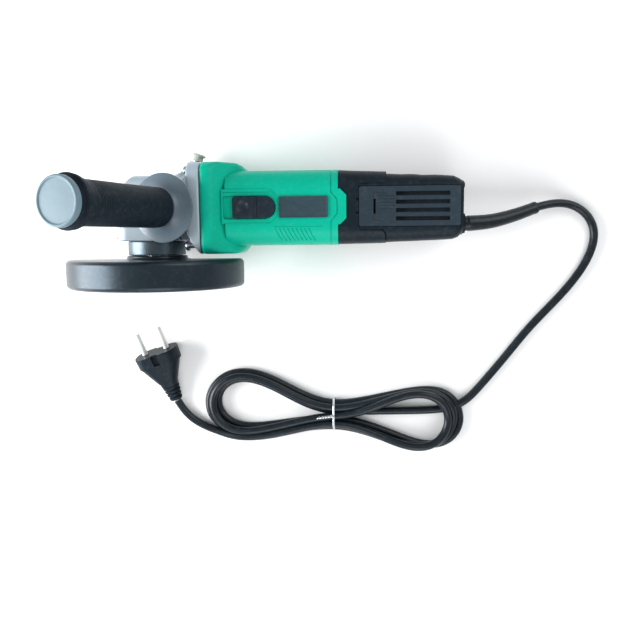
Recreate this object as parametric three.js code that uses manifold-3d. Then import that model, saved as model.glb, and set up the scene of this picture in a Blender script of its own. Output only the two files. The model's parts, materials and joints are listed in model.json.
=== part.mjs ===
// A 125 mm angle grinder with its side handle, wheel guard, cord and plug, in millimetres.
//
// It lies on its side, handle up. While it is built, the origin is where the spindle axis meets
// the armature axis: X runs to the tail along the armature, Y runs up the spindle away from the
// wheel, and Z points to the side of the handle. The whole group is then moved so that the
// origin is under the middle of the tool, on the surface that it lies on.
import * as THREE from "three";
import { mergeVertices } from "three/addons/utils/BufferGeometryUtils.js";
import Module from "manifold-3d";

const wasm = await Module();
wasm.setup();

// ---------- driving dimensions ----------
const GAP = 0.3; // between pieces that touch
const THROUGH = 2; // how far a cutter runs past a face
const FLOOR = -34; // the surface that the tool lies on
const RIGHT = Math.PI / 2;

// Castings and casings along X.
const SQUARE = 34; // half of the square front section
const SQUARE_CORNER = 8;
const FLANGE_START = 33; // gear housing flange
const SEAM = 42; // gear housing to motor housing
const SQUARE_END = 68.5; // end of the square section, seen from the handle
const BARREL_START = 74.5;
const BARREL = 28; // half of the barrel
const BARREL_CORNER = 15;
const CASING_SEAM = 144; // motor housing to rear housing
const TAIL = 236;
const HEAD_HALF = 26; // half of the gear head
const HEAD_TOP = 25;
const HEAD_CORNER = 10;

// Spindle and everything on it, along Y.
const BOX_JOINT = -13; // gear housing to bearing box
const BOX_BOTTOM = -24;
const NECK_BOTTOM = -35;
const NECK_R = 20.5;
const GUARD_R = 69;
const GUARD_TOP = -38;
const GUARD_BOTTOM = -60;
const GUARD_WALL = 1.6;
const SPINDLE_R = 6;
const THREAD_R = 6.9; // M14
const SPINDLE_END = -58;
const WHEEL_SEAT = -45.4; // face of the inner flange that the wheel rests on
const WHEEL_GAP = 3.6; // room for the wheel between the flanges

// Bevel gears: the cone apex is the origin.
const MODULE = 1.1;
const PINION_TEETH = 12;
const CROWN_TEETH = 37;
const ADDENDUM = 0.8;
const DEDENDUM = 1.1;
const FACE_WIDTH = 6.5;
const TIP_HALF = 0.11; // half of a tooth at its tip, as a share of the pitch
const ROOT_HALF = 0.25;

// Motor.
const STATOR_R = 25;
const STATOR_START = 68;
const STATOR_END = 106;
const ROTOR_R = 17;
const ROTOR_BORE = 11;
const SHAFT_R = 5;
const BRUSH_X = 126;
const COMMUTATOR_R = 10;

// Side handle: its axis leaves the armature axis at HANDLE_X and leans forward.
const HANDLE_X = 27;
const HANDLE_LEAN = THREE.MathUtils.degToRad(18);
const BOSS_FACE = 34.6; // along the handle's axis
const DISC_RIM = 36.3;
const DISC_R = 25.6;
const GRIP_START = 45;
const GRIP_R = 14.6;
const GRIP_END = 140.8;
const HANDLE_END = 146.1;
const CAP_R = 15.6;

// Spindle lock: its pin leans back from the crown gear's rim to the shoulder.
const LOCK_FOOT = new THREE.Vector3(15.79, -4.9, -17);
const LOCK_TOP = new THREE.Vector3(31.6, 43.2, -17);
const LOCK_PIN_R = 1.9;
const LOCK_TRAVEL = 2.8; // down to just above the rim of the crown gear
const LOCK_HEAD = -0.2; // underside of the button's head, from the top of its stem

// Switch on the barrel.
const SLIDER_START = 66;
const SLIDER_END = 97.4;
const SLIDER_HALF = 7.8;
const SWITCH_TRAVEL = 6.5;
const RECESS_HALF = 8.6;
const RECESS_FLOOR = 26.7;

// Cord.
const CORD_R = 3.25;
const CORD_Z = FLOOR + CORD_R + 0.05;
const GLAND_Y = -12.6;
const TIE_X = 138.6;
const TIE_EDGES = [-185.2, -159.2];
const TIE_HEIGHT = 13.4;
const HANK_HEIGHT = 16.5;

// ---------- geometry helpers ----------
function toSolid(geometry) {
  const bare = new THREE.BufferGeometry();
  bare.setAttribute("position", geometry.getAttribute("position").clone());
  bare.setIndex(geometry.index);
  const merged = mergeVertices(bare, 1e-4);
  return new wasm.Manifold(
    new wasm.Mesh({
      numProp: 3,
      vertProperties: new Float32Array(merged.attributes.position.array),
      triVerts: new Uint32Array(merged.index.array),
    }),
  );
}

function toGeometry(solid) {
  const mesh = solid.getMesh();
  const geometry = new THREE.BufferGeometry();
  geometry.setAttribute("position", new THREE.BufferAttribute(mesh.vertProperties, 3));
  geometry.setIndex(new THREE.BufferAttribute(mesh.triVerts, 1));
  return geometry;
}

function cut(base, ...tools) {
  return tools.reduce((solid, tool) => solid.subtract(toSolid(tool)), toSolid(base));
}

function join(base, ...others) {
  return others.reduce((solid, other) => solid.add(toSolid(other)), toSolid(base));
}

function cutSolid(solid, ...tools) {
  return tools.reduce((left, tool) => left.subtract(toSolid(tool)), solid);
}

// A box between two opposite corners.
function box(x0, x1, y0, y1, z0, z1) {
  const geometry = new THREE.BoxGeometry(x1 - x0, y1 - y0, z1 - z0);
  return geometry.translate((x0 + x1) / 2, (y0 + y1) / 2, (z0 + z1) / 2);
}

// A turned shape about Y from (radius, height) pairs that run from bottom to top.
function turned(profile, segments = 32) {
  const points = profile.map(([r, y]) => new THREE.Vector2(r, y));
  return new THREE.LatheGeometry(points, segments);
}

// A ring about Y: a closed profile, from its inner wall round by the bottom.
function ring(inner, outer, low, high, segments = 28) {
  const profile = [
    [inner, low],
    [outer, low],
    [outer, high],
    [inner, high],
    [inner, low],
  ];
  return turned(profile, segments);
}

// A round bar about Y, solid to its axis.
function bar(radius, low, high, segments = 20) {
  return new THREE.CylinderGeometry(radius, radius, high - low, segments).translate(
    0,
    (low + high) / 2,
    0,
  );
}

// Turns a shape about Y into one about X, or about the side handle's axis.
function alongX(geometry) {
  return geometry.rotateZ(-RIGHT);
}

function alongHandle(geometry, side = 1) {
  geometry.rotateX(side * RIGHT);
  return geometry.rotateY(-side * HANDLE_LEAN).translate(HANDLE_X, 0, 0);
}

// A rounded rectangle in the YZ plane at x; every call gives the same number of points.
function section(x, halfY, halfZ, corner, midY = 0, steps = 4) {
  const points = [];
  for (let quarter = 0; quarter < 4; quarter++) {
    const signY = quarter === 0 || quarter === 3 ? 1 : -1;
    const signZ = quarter < 2 ? 1 : -1;
    for (let s = 0; s <= steps; s++) {
      const angle = (quarter + s / steps) * RIGHT;
      const y = midY + signY * (halfY - corner) + corner * Math.cos(angle);
      const z = signZ * (halfZ - corner) + corner * Math.sin(angle);
      points.push(new THREE.Vector3(x, y, z));
    }
  }
  return points;
}

// A skin over rings of points; closed rings of rings make a bored shape, else the ends are capped.
function skin(rings, bored = false) {
  const count = rings[0].length;
  const positions = rings.flat().flatMap((p) => [p.x, p.y, p.z]);
  const index = [];
  const last = bored ? rings.length : rings.length - 1;
  for (let i = 0; i < last; i++) {
    const next = (i + 1) % rings.length;
    for (let j = 0; j < count; j++) {
      const k = (j + 1) % count;
      const [a, b] = [i * count + j, i * count + k];
      const [c, d] = [next * count + k, next * count + j];
      index.push(a, b, c, a, c, d);
    }
  }
  if (!bored) {
    [0, rings.length - 1].forEach((end) => {
      const centre = positions.length / 3;
      const middle = new THREE.Vector3();
      rings[end].forEach((p) => middle.addScaledVector(p, 1 / count));
      positions.push(middle.x, middle.y, middle.z);
      for (let j = 0; j < count; j++) {
        const k = (j + 1) % count;
        const pair = end === 0 ? [end * count + k, end * count + j] : [end * count + j, end * count + k];
        index.push(centre, ...pair);
      }
    });
  }
  const geometry = new THREE.BufferGeometry();
  geometry.setAttribute("position", new THREE.Float32BufferAttribute(positions, 3));
  geometry.setIndex(index);
  return geometry;
}

// A tapered round skin along a curve, its radius given by a function of the share of the way.
function taper(curve, radiusAt, steps, sides = 16) {
  const frames = curve.computeFrenetFrames(steps);
  const rings = [];
  for (let i = 0; i <= steps; i++) {
    const middle = curve.getPointAt(i / steps);
    const points = [];
    for (let j = 0; j < sides; j++) {
      const angle = (j / sides) * 4 * RIGHT;
      const point = middle.clone();
      point.addScaledVector(frames.normals[i], radiusAt(i / steps) * Math.cos(angle));
      point.addScaledVector(frames.binormals[i], radiusAt(i / steps) * Math.sin(angle));
      points.push(point);
    }
    rings.push(points);
  }
  return skin(rings);
}

// A round tube of constant size along a curve.
function tube(curve, radius, steps, sides = 10) {
  const outline = new THREE.Shape();
  outline.absarc(0, 0, radius, 0, 4 * RIGHT);
  return new THREE.ExtrudeGeometry(outline, {
    steps,
    curveSegments: sides / 2,
    extrudePath: curve,
    bevelEnabled: false,
  });
}

// A toothed or slotted ring of points about X: four points a pitch, from (axial, radius) pairs.
function toothRing(teeth, root, tip, phase = 0, rootHalf = ROOT_HALF, tipHalf = TIP_HALF) {
  const points = [];
  for (let t = 0; t < teeth; t++) {
    const corners = [
      [-rootHalf, root],
      [-tipHalf, tip],
      [tipHalf, tip],
      [rootHalf, root],
    ];
    corners.forEach(([share, [axial, radius]]) => {
      const angle = ((t + share + phase) / teeth) * 4 * RIGHT;
      points.push(new THREE.Vector3(axial, radius * Math.cos(angle), radius * Math.sin(angle)));
    });
  }
  return points;
}

// A pan-head screw about Y, its slotted head at the top.
function screw(shankR, length, headR, headHeight) {
  const profile = [
    [0, -length],
    [shankR, -length],
    [shankR, 0],
    [headR, 0],
    [headR, headHeight * 0.6],
    [headR * 0.7, headHeight],
    [0, headHeight],
  ];
  const driveWidth = headR * 0.22;
  const driveDepth = headHeight * 0.5;
  const slot = box(-headR, headR, driveDepth, headHeight + 1, -driveWidth, driveWidth);
  return cut(turned(profile, 10), slot);
}

// ---------- materials ----------
function finish(color, roughness, metalness = 0) {
  return () => new THREE.MeshStandardMaterial({ color, roughness, metalness });
}

const castAluminium = finish(0xadc2cb, 0.45, 0.8);
const greenPlastic = finish(0x03b496, 0.4);
const blackPlastic = finish(0x28363e, 0.55);
const gripRubber = finish(0x19293a, 0.75);
const capPlastic = finish(0xabc6d2, 0.5);
const labelFinish = finish(0x4f5e64, 0.45);
const switchPlastic = finish(0x37404a, 0.5);
const paintedSteel = finish(0x2b3942, 0.4, 0.3);
const steel = finish(0xb5bcc2, 0.3, 1);
const darkSteel = finish(0x50555a, 0.4, 0.9);
const copper = finish(0xb0643a, 0.35, 1);
const carbon = finish(0x222326, 0.8);
const brass = finish(0xc9a24a, 0.35, 1);
const whitePlastic = finish(0xd8dcd8, 0.5);
const cordRubber = finish(0x26333a, 0.5);

// ---------- gear head ----------
function headPlan(half, corner) {
  const shape = new THREE.Shape();
  const inner = half - corner;
  shape.absarc(inner, inner, corner, 0, RIGHT);
  shape.absarc(-inner, inner, corner, RIGHT, 2 * RIGHT);
  shape.absarc(-inner, -inner, corner, 2 * RIGHT, 3 * RIGHT);
  shape.absarc(inner, -inner, corner, 3 * RIGHT, 4 * RIGHT);
  return shape;
}

// A plan in XZ raised from low to high along Y, its top edge rounded by a bevel.
function raised(shape, low, high, bevel = 0, curveSegments = 3) {
  const geometry = new THREE.ExtrudeGeometry(shape, {
    depth: high - low - 2 * bevel,
    curveSegments,
    bevelEnabled: bevel > 0,
    bevelThickness: bevel,
    bevelSize: bevel,
    bevelOffset: -bevel,
    bevelSegments: 2,
  });
  return geometry.rotateX(-RIGHT).translate(0, low + bevel, 0);
}

function lockAxis(geometry) {
  const direction = LOCK_TOP.clone().sub(LOCK_FOOT).normalize();
  const turn = new THREE.Quaternion().setFromUnitVectors(new THREE.Vector3(0, 1, 0), direction);
  return geometry.applyQuaternion(turn).translate(LOCK_TOP.x, LOCK_TOP.y, LOCK_TOP.z);
}

const CASE_SCREW_PLACES = [
  [27.5, 27.5],
  [-27.5, 27.5],
  [-27.5, -27.5],
  [27.5, -27.5],
];
const BOX_SCREW_PLACES = [
  [-20.5, 20.5],
  [20.5, 20.5],
  [20.5, -20.5],
  [-20.5, -20.5],
];
const CASE_SCREW_R = 2;
const BOX_SCREW_R = 1.8;

function gearHousing() {
  const head = raised(headPlan(HEAD_HALF, HEAD_CORNER), BOX_JOINT + GAP / 2, HEAD_TOP, 5);
  const foot = raised(headPlan(HEAD_HALF, HEAD_CORNER), BOX_JOINT + GAP / 2, -5);
  const shoulder = skin([
    section(20, 25, 25.5, 9),
    section(25, 26, 26.5, 9),
    section(FLANGE_START - 1, SQUARE - 1, SQUARE - 1, SQUARE_CORNER),
    section(FLANGE_START, SQUARE, SQUARE, SQUARE_CORNER),
    section(SEAM - GAP / 2, SQUARE, SQUARE, SQUARE_CORNER),
  ]);
  const boss = alongHandle(bar(11.5, 12, BOSS_FACE, 24));
  const spareBoss = alongHandle(bar(9.5, 12, 31, 20), -1);
  const lockBoss = lockAxis(bar(6.2, -16, -5.2, 20));
  const cutters = [
    box(-40, HEAD_HALF + GAP, -SQUARE - 1, BOX_JOINT + GAP / 2, -40, 40),
    bar(24.2, BOX_JOINT - THROUGH, 14, 36),
    bar(7, 13, 21, 24),
    alongX(bar(10, 0, 26)),
    alongX(bar(13 + GAP, 25 - GAP, 35, 28)),
    alongX(bar(27, 34, SEAM + THROUGH, 32)),
    alongHandle(bar(4 + GAP, 22, BOSS_FACE + THROUGH, 16)),
    alongHandle(bar(4 + GAP, 20, 31 + THROUGH, 16), -1),
    lockAxis(bar(LOCK_PIN_R + GAP, -57, THROUGH, 12)),
    lockAxis(bar(4.4, -13, THROUGH, 14)),
  ];
  CASE_SCREW_PLACES.forEach(([y, z]) => {
    cutters.push(alongX(bar(4.6, 15, FLANGE_START, 12)).translate(0, y, z));
    cutters.push(alongX(bar(CASE_SCREW_R + GAP, 30, SEAM + THROUGH, 10)).translate(0, y, z));
  });
  BOX_SCREW_PLACES.forEach(([x, z]) => {
    cutters.push(bar(BOX_SCREW_R + GAP, BOX_JOINT - THROUGH, -3.5, 8).translate(x, 0, z));
  });
  return cutSolid(join(head, foot, shoulder, boss, spareBoss, lockBoss), ...cutters);
}

function bearingBox() {
  const plate = raised(headPlan(HEAD_HALF, HEAD_CORNER), BOX_BOTTOM, BOX_JOINT - GAP / 2, 1.5);
  const neck = bar(NECK_R, NECK_BOTTOM, BOX_BOTTOM + 2, 36);
  const cutters = [
    bar(16 + GAP, BOX_BOTTOM - 0.5, BOX_JOINT + THROUGH, 28),
    bar(9.2, NECK_BOTTOM - THROUGH, BOX_BOTTOM + THROUGH, 20),
  ];
  BOX_SCREW_PLACES.forEach(([x, z]) => {
    cutters.push(bar(BOX_SCREW_R + GAP, BOX_BOTTOM - THROUGH, BOX_JOINT + THROUGH, 8).translate(x, 0, z));
    cutters.push(bar(4, BOX_BOTTOM - THROUGH, BOX_BOTTOM + 3.2, 12).translate(x, 0, z));
  });
  return cutSolid(join(plate, neck), ...cutters);
}

function spindle() {
  const profile = [
    [0, SPINDLE_END],
    [THREAD_R - 1, SPINDLE_END],
    [THREAD_R, SPINDLE_END + 1],
    [THREAD_R, WHEEL_SEAT + 5.3],
    [8.5, WHEEL_SEAT + 5.3],
    [8.5, BOX_BOTTOM - 0.6],
    [SPINDLE_R, BOX_BOTTOM - 0.6],
    [SPINDLE_R, -1],
    [4.7, -1],
    [4.7, 20],
    [0, 20],
  ];
  return turned(profile, 20);
}

// The point at a share of the cone distance and a height off the pitch cone.
function onCone(pitchRadius, otherRadius, share, height) {
  const distance = Math.hypot(pitchRadius, otherRadius);
  const radius = share * (pitchRadius + (height * otherRadius) / distance);
  const axial = share * (otherRadius - (height * pitchRadius) / distance);
  return [axial, radius];
}

const PINION_PITCH_R = (MODULE * PINION_TEETH) / 2;
const CROWN_PITCH_R = (MODULE * CROWN_TEETH) / 2;
const CONE = Math.hypot(PINION_PITCH_R, CROWN_PITCH_R);
const SMALL_END = (CONE - FACE_WIDTH) / CONE;

function plainRing(teeth, axial, radius, phase = 0) {
  return toothRing(teeth, [axial, radius], [axial, radius], phase);
}

function pinion() {
  const tip = (share) => onCone(PINION_PITCH_R, CROWN_PITCH_R, share, ADDENDUM);
  const root = (share) => onCone(PINION_PITCH_R, CROWN_PITCH_R, share, -DEDENDUM);
  const phase = PINION_TEETH / 2; // a tooth points straight down at the crown gear
  const large = toothRing(PINION_TEETH, root(1), tip(1), phase);
  const small = toothRing(PINION_TEETH, root(SMALL_END), tip(SMALL_END), phase);
  const hub = plainRing(PINION_TEETH, 22.4, 4.8, phase);
  const boreBack = plainRing(PINION_TEETH, 22.4, 3.2, phase);
  const boreFront = plainRing(PINION_TEETH, small[0].x + 0.4, 3.2, phase);
  return skin([small, large, hub, boreBack, boreFront], true);
}

function crownGear() {
  const tip = (share) => flipAxial(onCone(CROWN_PITCH_R, PINION_PITCH_R, share, ADDENDUM));
  const root = (share) => flipAxial(onCone(CROWN_PITCH_R, PINION_PITCH_R, share, -DEDENDUM));
  const flat = (axial, radius) => plainRing(CROWN_TEETH, axial, radius, CROWN_PHASE);
  const rings = [
    flat(-12.6, SPINDLE_R + GAP),
    flat(-12.6, 23.3),
    flat(-8.6, 23.3),
    flat(-8.6, 20.95),
    toothRing(CROWN_TEETH, root(1), tip(1), CROWN_PHASE),
    toothRing(CROWN_TEETH, root(SMALL_END), tip(SMALL_END), CROWN_PHASE),
    flat(-8.2, SPINDLE_R + GAP),
  ];
  const gear = skin(rings, true).rotateZ(RIGHT);
  const notch = lockAxis(bar(LOCK_PIN_R + 1.4, -70, -40, 16));
  const notches = [0, 1, 2, 3].map((turn) => notch.clone().rotateY(turn * RIGHT));
  return cut(gear, ...notches);
}

function flipAxial([axial, radius]) {
  return [-axial, radius];
}

// With the gear's X turned up to Y, the pinion side (+X) is where its angle is 180 degrees.
const CROWN_PHASE = CROWN_TEETH / 2 + 0.5;

function lockButton() {
  const length = LOCK_TOP.distanceTo(LOCK_FOOT);
  const profile = [
    [0, -length],
    [LOCK_PIN_R, -length],
    [LOCK_PIN_R, -4],
    [3.9, -4],
    [3.9, LOCK_HEAD],
    [5.2, LOCK_HEAD],
    [5.2, 1],
    [4.4, 1.8],
    [2.6, 2.5],
    [0, 2.8],
  ];
  return lockAxis(turned(profile, 18));
}

class Helix extends THREE.Curve {
  constructor(radius, low, high, turns) {
    super();
    Object.assign(this, { radius, low, high, turns });
  }
  getPoint(t, target = new THREE.Vector3()) {
    const angle = t * this.turns * 4 * RIGHT;
    const y = THREE.MathUtils.lerp(this.low, this.high, t);
    return target.set(this.radius * Math.cos(angle), y, this.radius * Math.sin(angle));
  }
}

// The spring is drawn at the length that it has with the button pressed.
function lockSpring() {
  const wire = 0.45;
  const top = -4 - LOCK_TRAVEL - wire - 0.2;
  return lockAxis(tube(new Helix(3.1, -12.3, top, 3), wire, 30, 5));
}

// ---------- wheel side ----------
function guard() {
  const edge = GUARD_R - 3;
  const profile = [
    [NECK_R + 0.5, NECK_BOTTOM - GAP],
    [22.4, NECK_BOTTOM - GAP],
    [23.4, NECK_BOTTOM - 1],
    [23.4, GUARD_TOP + 0.6],
    [25, GUARD_TOP],
    [edge, GUARD_TOP],
    [GUARD_R - 0.9, GUARD_TOP - 0.9],
    [GUARD_R, GUARD_TOP - 3],
    [GUARD_R, GUARD_BOTTOM + 3.4],
    [GUARD_R - 1, GUARD_BOTTOM + 1],
    [edge, GUARD_BOTTOM],
    [edge - 3, GUARD_BOTTOM],
    [edge - 3, GUARD_BOTTOM + 1.3],
    [GUARD_R - GUARD_WALL, GUARD_BOTTOM + 3.6],
    [GUARD_R - GUARD_WALL, GUARD_TOP - 3.4],
    [edge - 0.6, GUARD_TOP - GUARD_WALL],
    [NECK_R + 0.5, GUARD_TOP - GUARD_WALL],
    [NECK_R + 0.5, NECK_BOTTOM - GAP],
  ];
  const whole = toSolid(turned(profile.reverse(), 60));
  const openSide = toSolid(box(-80, 80, -70, -30, -80, 0)).subtract(toSolid(bar(26, -71, -29, 60)));
  return whole.subtract(openSide);
}

function guardBand() {
  const band = ring(NECK_R + GAP, 22.2, NECK_BOTTOM + 0.3, BOX_BOTTOM - GAP, 36);
  const lugs = box(-6, 6, NECK_BOTTOM + 1.5, BOX_BOTTOM - 1.5, -31, -21.2);
  const split = box(-1.6, 1.6, NECK_BOTTOM - 1, BOX_BOTTOM + 1, -32, -18);
  const hole = alongX(bar(2.3, -8, 8, 14)).translate(0, (NECK_BOTTOM + BOX_BOTTOM) / 2, -26.8);
  return cutSolid(join(band, lugs), split, hole);
}

function guardScrew() {
  const middle = (NECK_BOTTOM + BOX_BOTTOM) / 2;
  return toSolid(alongX(toGeometry(screw(2, 14.5, 3.6, 2.6))).translate(6 + GAP, middle, -26.8));
}

function innerFlange() {
  const profile = [
    [THREAD_R + GAP, WHEEL_SEAT - 2],
    [11.1, WHEEL_SEAT - 2],
    [11.1, WHEEL_SEAT],
    [20.4, WHEEL_SEAT],
    [20.4, WHEEL_SEAT + 3.4],
    [16, WHEEL_SEAT + 5],
    [THREAD_R + GAP, WHEEL_SEAT + 5],
    [THREAD_R + GAP, WHEEL_SEAT - 2],
  ];
  return turned(profile, 28);
}

function flangeNut() {
  const top = WHEEL_SEAT - WHEEL_GAP;
  const nut = ring(THREAD_R + GAP, 20, top - 6, top, 28);
  const holes = [0, 1, 2, 3].map((turn) =>
    bar(2.6, top - 8, top - 2, 8)
      .translate(15, 0, 0)
      .rotateY((turn + 0.5) * RIGHT),
  );
  return cut(nut, ...holes);
}

// ---------- side handle ----------
function handleDisc() {
  const profile = [
    [4 + GAP, BOSS_FACE + GAP],
    [12, BOSS_FACE + GAP],
    [DISC_R - 1, DISC_RIM + 0.3],
    [DISC_R, DISC_RIM + 0.6],
    [DISC_R, DISC_RIM + 1.8],
    [DISC_R - 1, DISC_RIM + 2.6],
    [GRIP_R + 3.5, 42],
    [GRIP_R + 0.4, GRIP_START - GAP],
    [4 + GAP, GRIP_START - GAP],
    [4 + GAP, BOSS_FACE + GAP],
  ];
  return alongHandle(turned(profile, 32));
}

function handleGrip() {
  const bore = 4 + GAP;
  const outline = [
    [GRIP_R - 0.8, GRIP_START],
    [GRIP_R, GRIP_START + 1.5],
    [GRIP_R - 0.1, 82],
    [GRIP_R, 122],
    [GRIP_R + 0.6, 128],
    [GRIP_R + 2.6, 134.5],
    [GRIP_R + 2.9, 137],
    [GRIP_R + 2.2, 139.6],
    [GRIP_R + 0.4, GRIP_END],
    [0, GRIP_END],
    [0, 62],
    [bore, 62],
    [bore, GRIP_START],
    [GRIP_R - 0.8, GRIP_START],
  ];
  return alongHandle(turned(outline, 26));
}

function handleCap() {
  const profile = [
    [0, GRIP_END + GAP],
    [CAP_R - 0.4, GRIP_END + GAP],
    [CAP_R + 0.1, GRIP_END + 1.2],
    [CAP_R + 0.1, HANDLE_END - 1.6],
    [CAP_R - 1, HANDLE_END - 0.2],
    [CAP_R - 1.8, HANDLE_END],
    [CAP_R - 2.6, HANDLE_END - 0.8],
    [0, HANDLE_END - 0.8],
  ];
  return alongHandle(turned(profile, 28));
}

// ---------- motor ----------
function slottedRing(slots, bore, outer, depth, low, high) {
  const edge = (axial) => toothRing(slots, [axial, outer - depth], [axial, outer], 0, 0.4, 0.38);
  const hole = (axial) => plainSlots(slots, axial, bore);
  return skin([edge(low), edge(high), hole(high), hole(low)], true);
}

function plainSlots(slots, axial, radius) {
  return toothRing(slots, [axial, radius], [axial, radius], 0, 0.4, 0.38);
}

function armatureShaft() {
  const profile = [
    [0, 12.4],
    [2.9, 12.4],
    [2.9, 22.8],
    [SHAFT_R, 22.8],
    [SHAFT_R, 60],
    [SHAFT_R + 0.5, 60],
    [SHAFT_R + 0.5, 116.4],
    [SHAFT_R, 116.4],
    [SHAFT_R, 136],
    [3.4, 136],
    [3.4, 144],
    [0, 144],
  ];
  return alongX(turned(profile, 16));
}

function armatureWinding() {
  const bore = SHAFT_R + 0.5 + GAP;
  const profile = [
    [bore, 57.5],
    [13.6, 57.5],
    [15.4, 62],
    [ROTOR_BORE, 67.6],
    [ROTOR_BORE, 106.4],
    [15, 110],
    [13.4, 116],
    [bore, 116],
    [bore, 57.5],
  ];
  return alongX(turned(profile, 18));
}

function fan() {
  const hub = ring(SHAFT_R + GAP, 9, 43.5, 50.5, 18);
  const disc = ring(8, 27, 49.3, 50.5, 28);
  const blades = [];
  const count = 9;
  for (let i = 0; i < count; i++) {
    const blade = box(13, 26.6, 44, 49.6, -0.6, 0.6);
    blades.push(blade.rotateY((i / count) * 4 * RIGHT));
  }
  return toSolid(alongX(toGeometry(join(hub, disc, ...blades))));
}

function statorCore() {
  const core = alongX(bar(STATOR_R, STATOR_START, STATOR_END, 32));
  const flats = box(60, 115, -30, 30, -21.6, 21.6);
  const cutters = [alongX(bar(ROTOR_R + 0.7, 60, 115, 28))];
  [-1, 1].forEach((sideY) => {
    [-1, 1].forEach((sideZ) => {
      const [y0, y1] = [17.2 * sideY, 20.2 * sideY].sort((a, b) => a - b);
      const [z0, z1] = [9.2 * sideZ, 13.6 * sideZ].sort((a, b) => a - b);
      cutters.push(box(60, 115, y0, y1, z0, z1));
    });
  });
  return cutSolid(toSolid(core).intersect(toSolid(flats)), ...cutters);
}

// A wound loop that lies in the stator's windows on one side.
function fieldCoil(side) {
  const [y0, y1] = [17.5 * side, 19.9 * side].sort((a, b) => a - b);
  const outer = box(STATOR_START - 5, STATOR_END + 5, y0, y1, -13.3, 13.3);
  const window = box(STATOR_START - GAP, STATOR_END + GAP, y0 - 1, y1 + 1, -9.5, 9.5);
  return cut(outer, window);
}

function brushHolder(side) {
  const [y0, y1] = [11.6 * side, 24.2 * side].sort((a, b) => a - b);
  const [h0, h1] = [11 * side, 25 * side].sort((a, b) => a - b);
  const tubeBody = box(BRUSH_X - 5, BRUSH_X + 5, y0, y1, -4.4, 4.4);
  const hollow = box(BRUSH_X - 3.6, BRUSH_X + 3.6, h0, h1, -3, 3);
  return cut(tubeBody, hollow);
}

function carbonBrush(side) {
  const [y0, y1] = [(COMMUTATOR_R + 0.4) * side, 21 * side].sort((a, b) => a - b);
  return box(BRUSH_X - 3.2, BRUSH_X + 3.2, y0, y1, -2.6, 2.6);
}

// ---------- casings ----------
function motorHousing() {
  const outside = skin([
    section(SEAM + GAP / 2, SQUARE, SQUARE, SQUARE_CORNER),
    section(50, SQUARE, SQUARE, 9),
    section(59, SQUARE, 29.8, 10),
    section(SQUARE_END, SQUARE, 28.6, 12),
    section(BARREL_START, BARREL, BARREL, BARREL_CORNER),
    section(CASING_SEAM - GAP / 2, BARREL, BARREL, BARREL_CORNER),
  ]);
  const tongues = [-1, 1].map((side) => seamTongue(side, 0));
  const cutters = [
    alongX(bar(29.5, SEAM - THROUGH, 53.5, 36)),
    alongX(bar(STATOR_R + GAP + 0.2, 50, 134, 36)),
    alongX(bar(9.5 + GAP, 130, CASING_SEAM - 3, 24)),
    alongX(bar(4.4, 130, CASING_SEAM + THROUGH, 12)),
    box(SLIDER_START - SWITCH_TRAVEL - 0.8, SLIDER_END + 0.6, -RECESS_HALF, RECESS_HALF, RECESS_FLOOR, 40),
    box(69, 92, -3.2, 3.2, 20, 30),
    box(130, CASING_SEAM + THROUGH, -4.5, 4.5, 21.7, 25),
  ];
  CASE_SCREW_PLACES.forEach(([y, z]) => {
    cutters.push(alongX(bar(CASE_SCREW_R + GAP, SEAM - THROUGH, 51, 10)).translate(0, y, z));
  });
  [0, 1, 2, 3].forEach((turn) => {
    const hole = alongX(bar(5, 130, CASING_SEAM + THROUGH, 10)).translate(0, 17, 0);
    cutters.push(hole.rotateX((turn + 0.5) * RIGHT));
  });
  return cutSolid(join(outside, ...tongues), ...cutters);
}

// The tongue with chamfered corners by which the motor housing laps over the rear housing.
function seamTongue(side, clearance) {
  const shape = new THREE.Shape();
  const [start, end, wide, narrow] = [CASING_SEAM - 3, 150 + clearance, 13 + clearance, 9.6 + clearance];
  shape.moveTo(start, -wide);
  shape.lineTo(CASING_SEAM + 1, -wide);
  shape.lineTo(end, -narrow);
  shape.lineTo(end, narrow);
  shape.lineTo(CASING_SEAM + 1, wide);
  shape.lineTo(start, wide);
  const thick = BARREL - 26.2;
  const geometry = new THREE.ExtrudeGeometry(shape, {
    depth: thick + 2 * clearance,
    bevelEnabled: false,
  });
  return geometry.translate(0, 0, side > 0 ? 26.2 - clearance : -BARREL - clearance);
}

const PANEL_START = 159;
const PANEL_END = 234;
const PANEL_HALF = 15;
const TAIL_HALF_Z = 27;
const PANEL_THICK = 1.6;

function tailSection(x, top, bottom, halfZ, corner) {
  return section(x, (top - bottom) / 2, halfZ, corner, (top + bottom) / 2);
}

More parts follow.
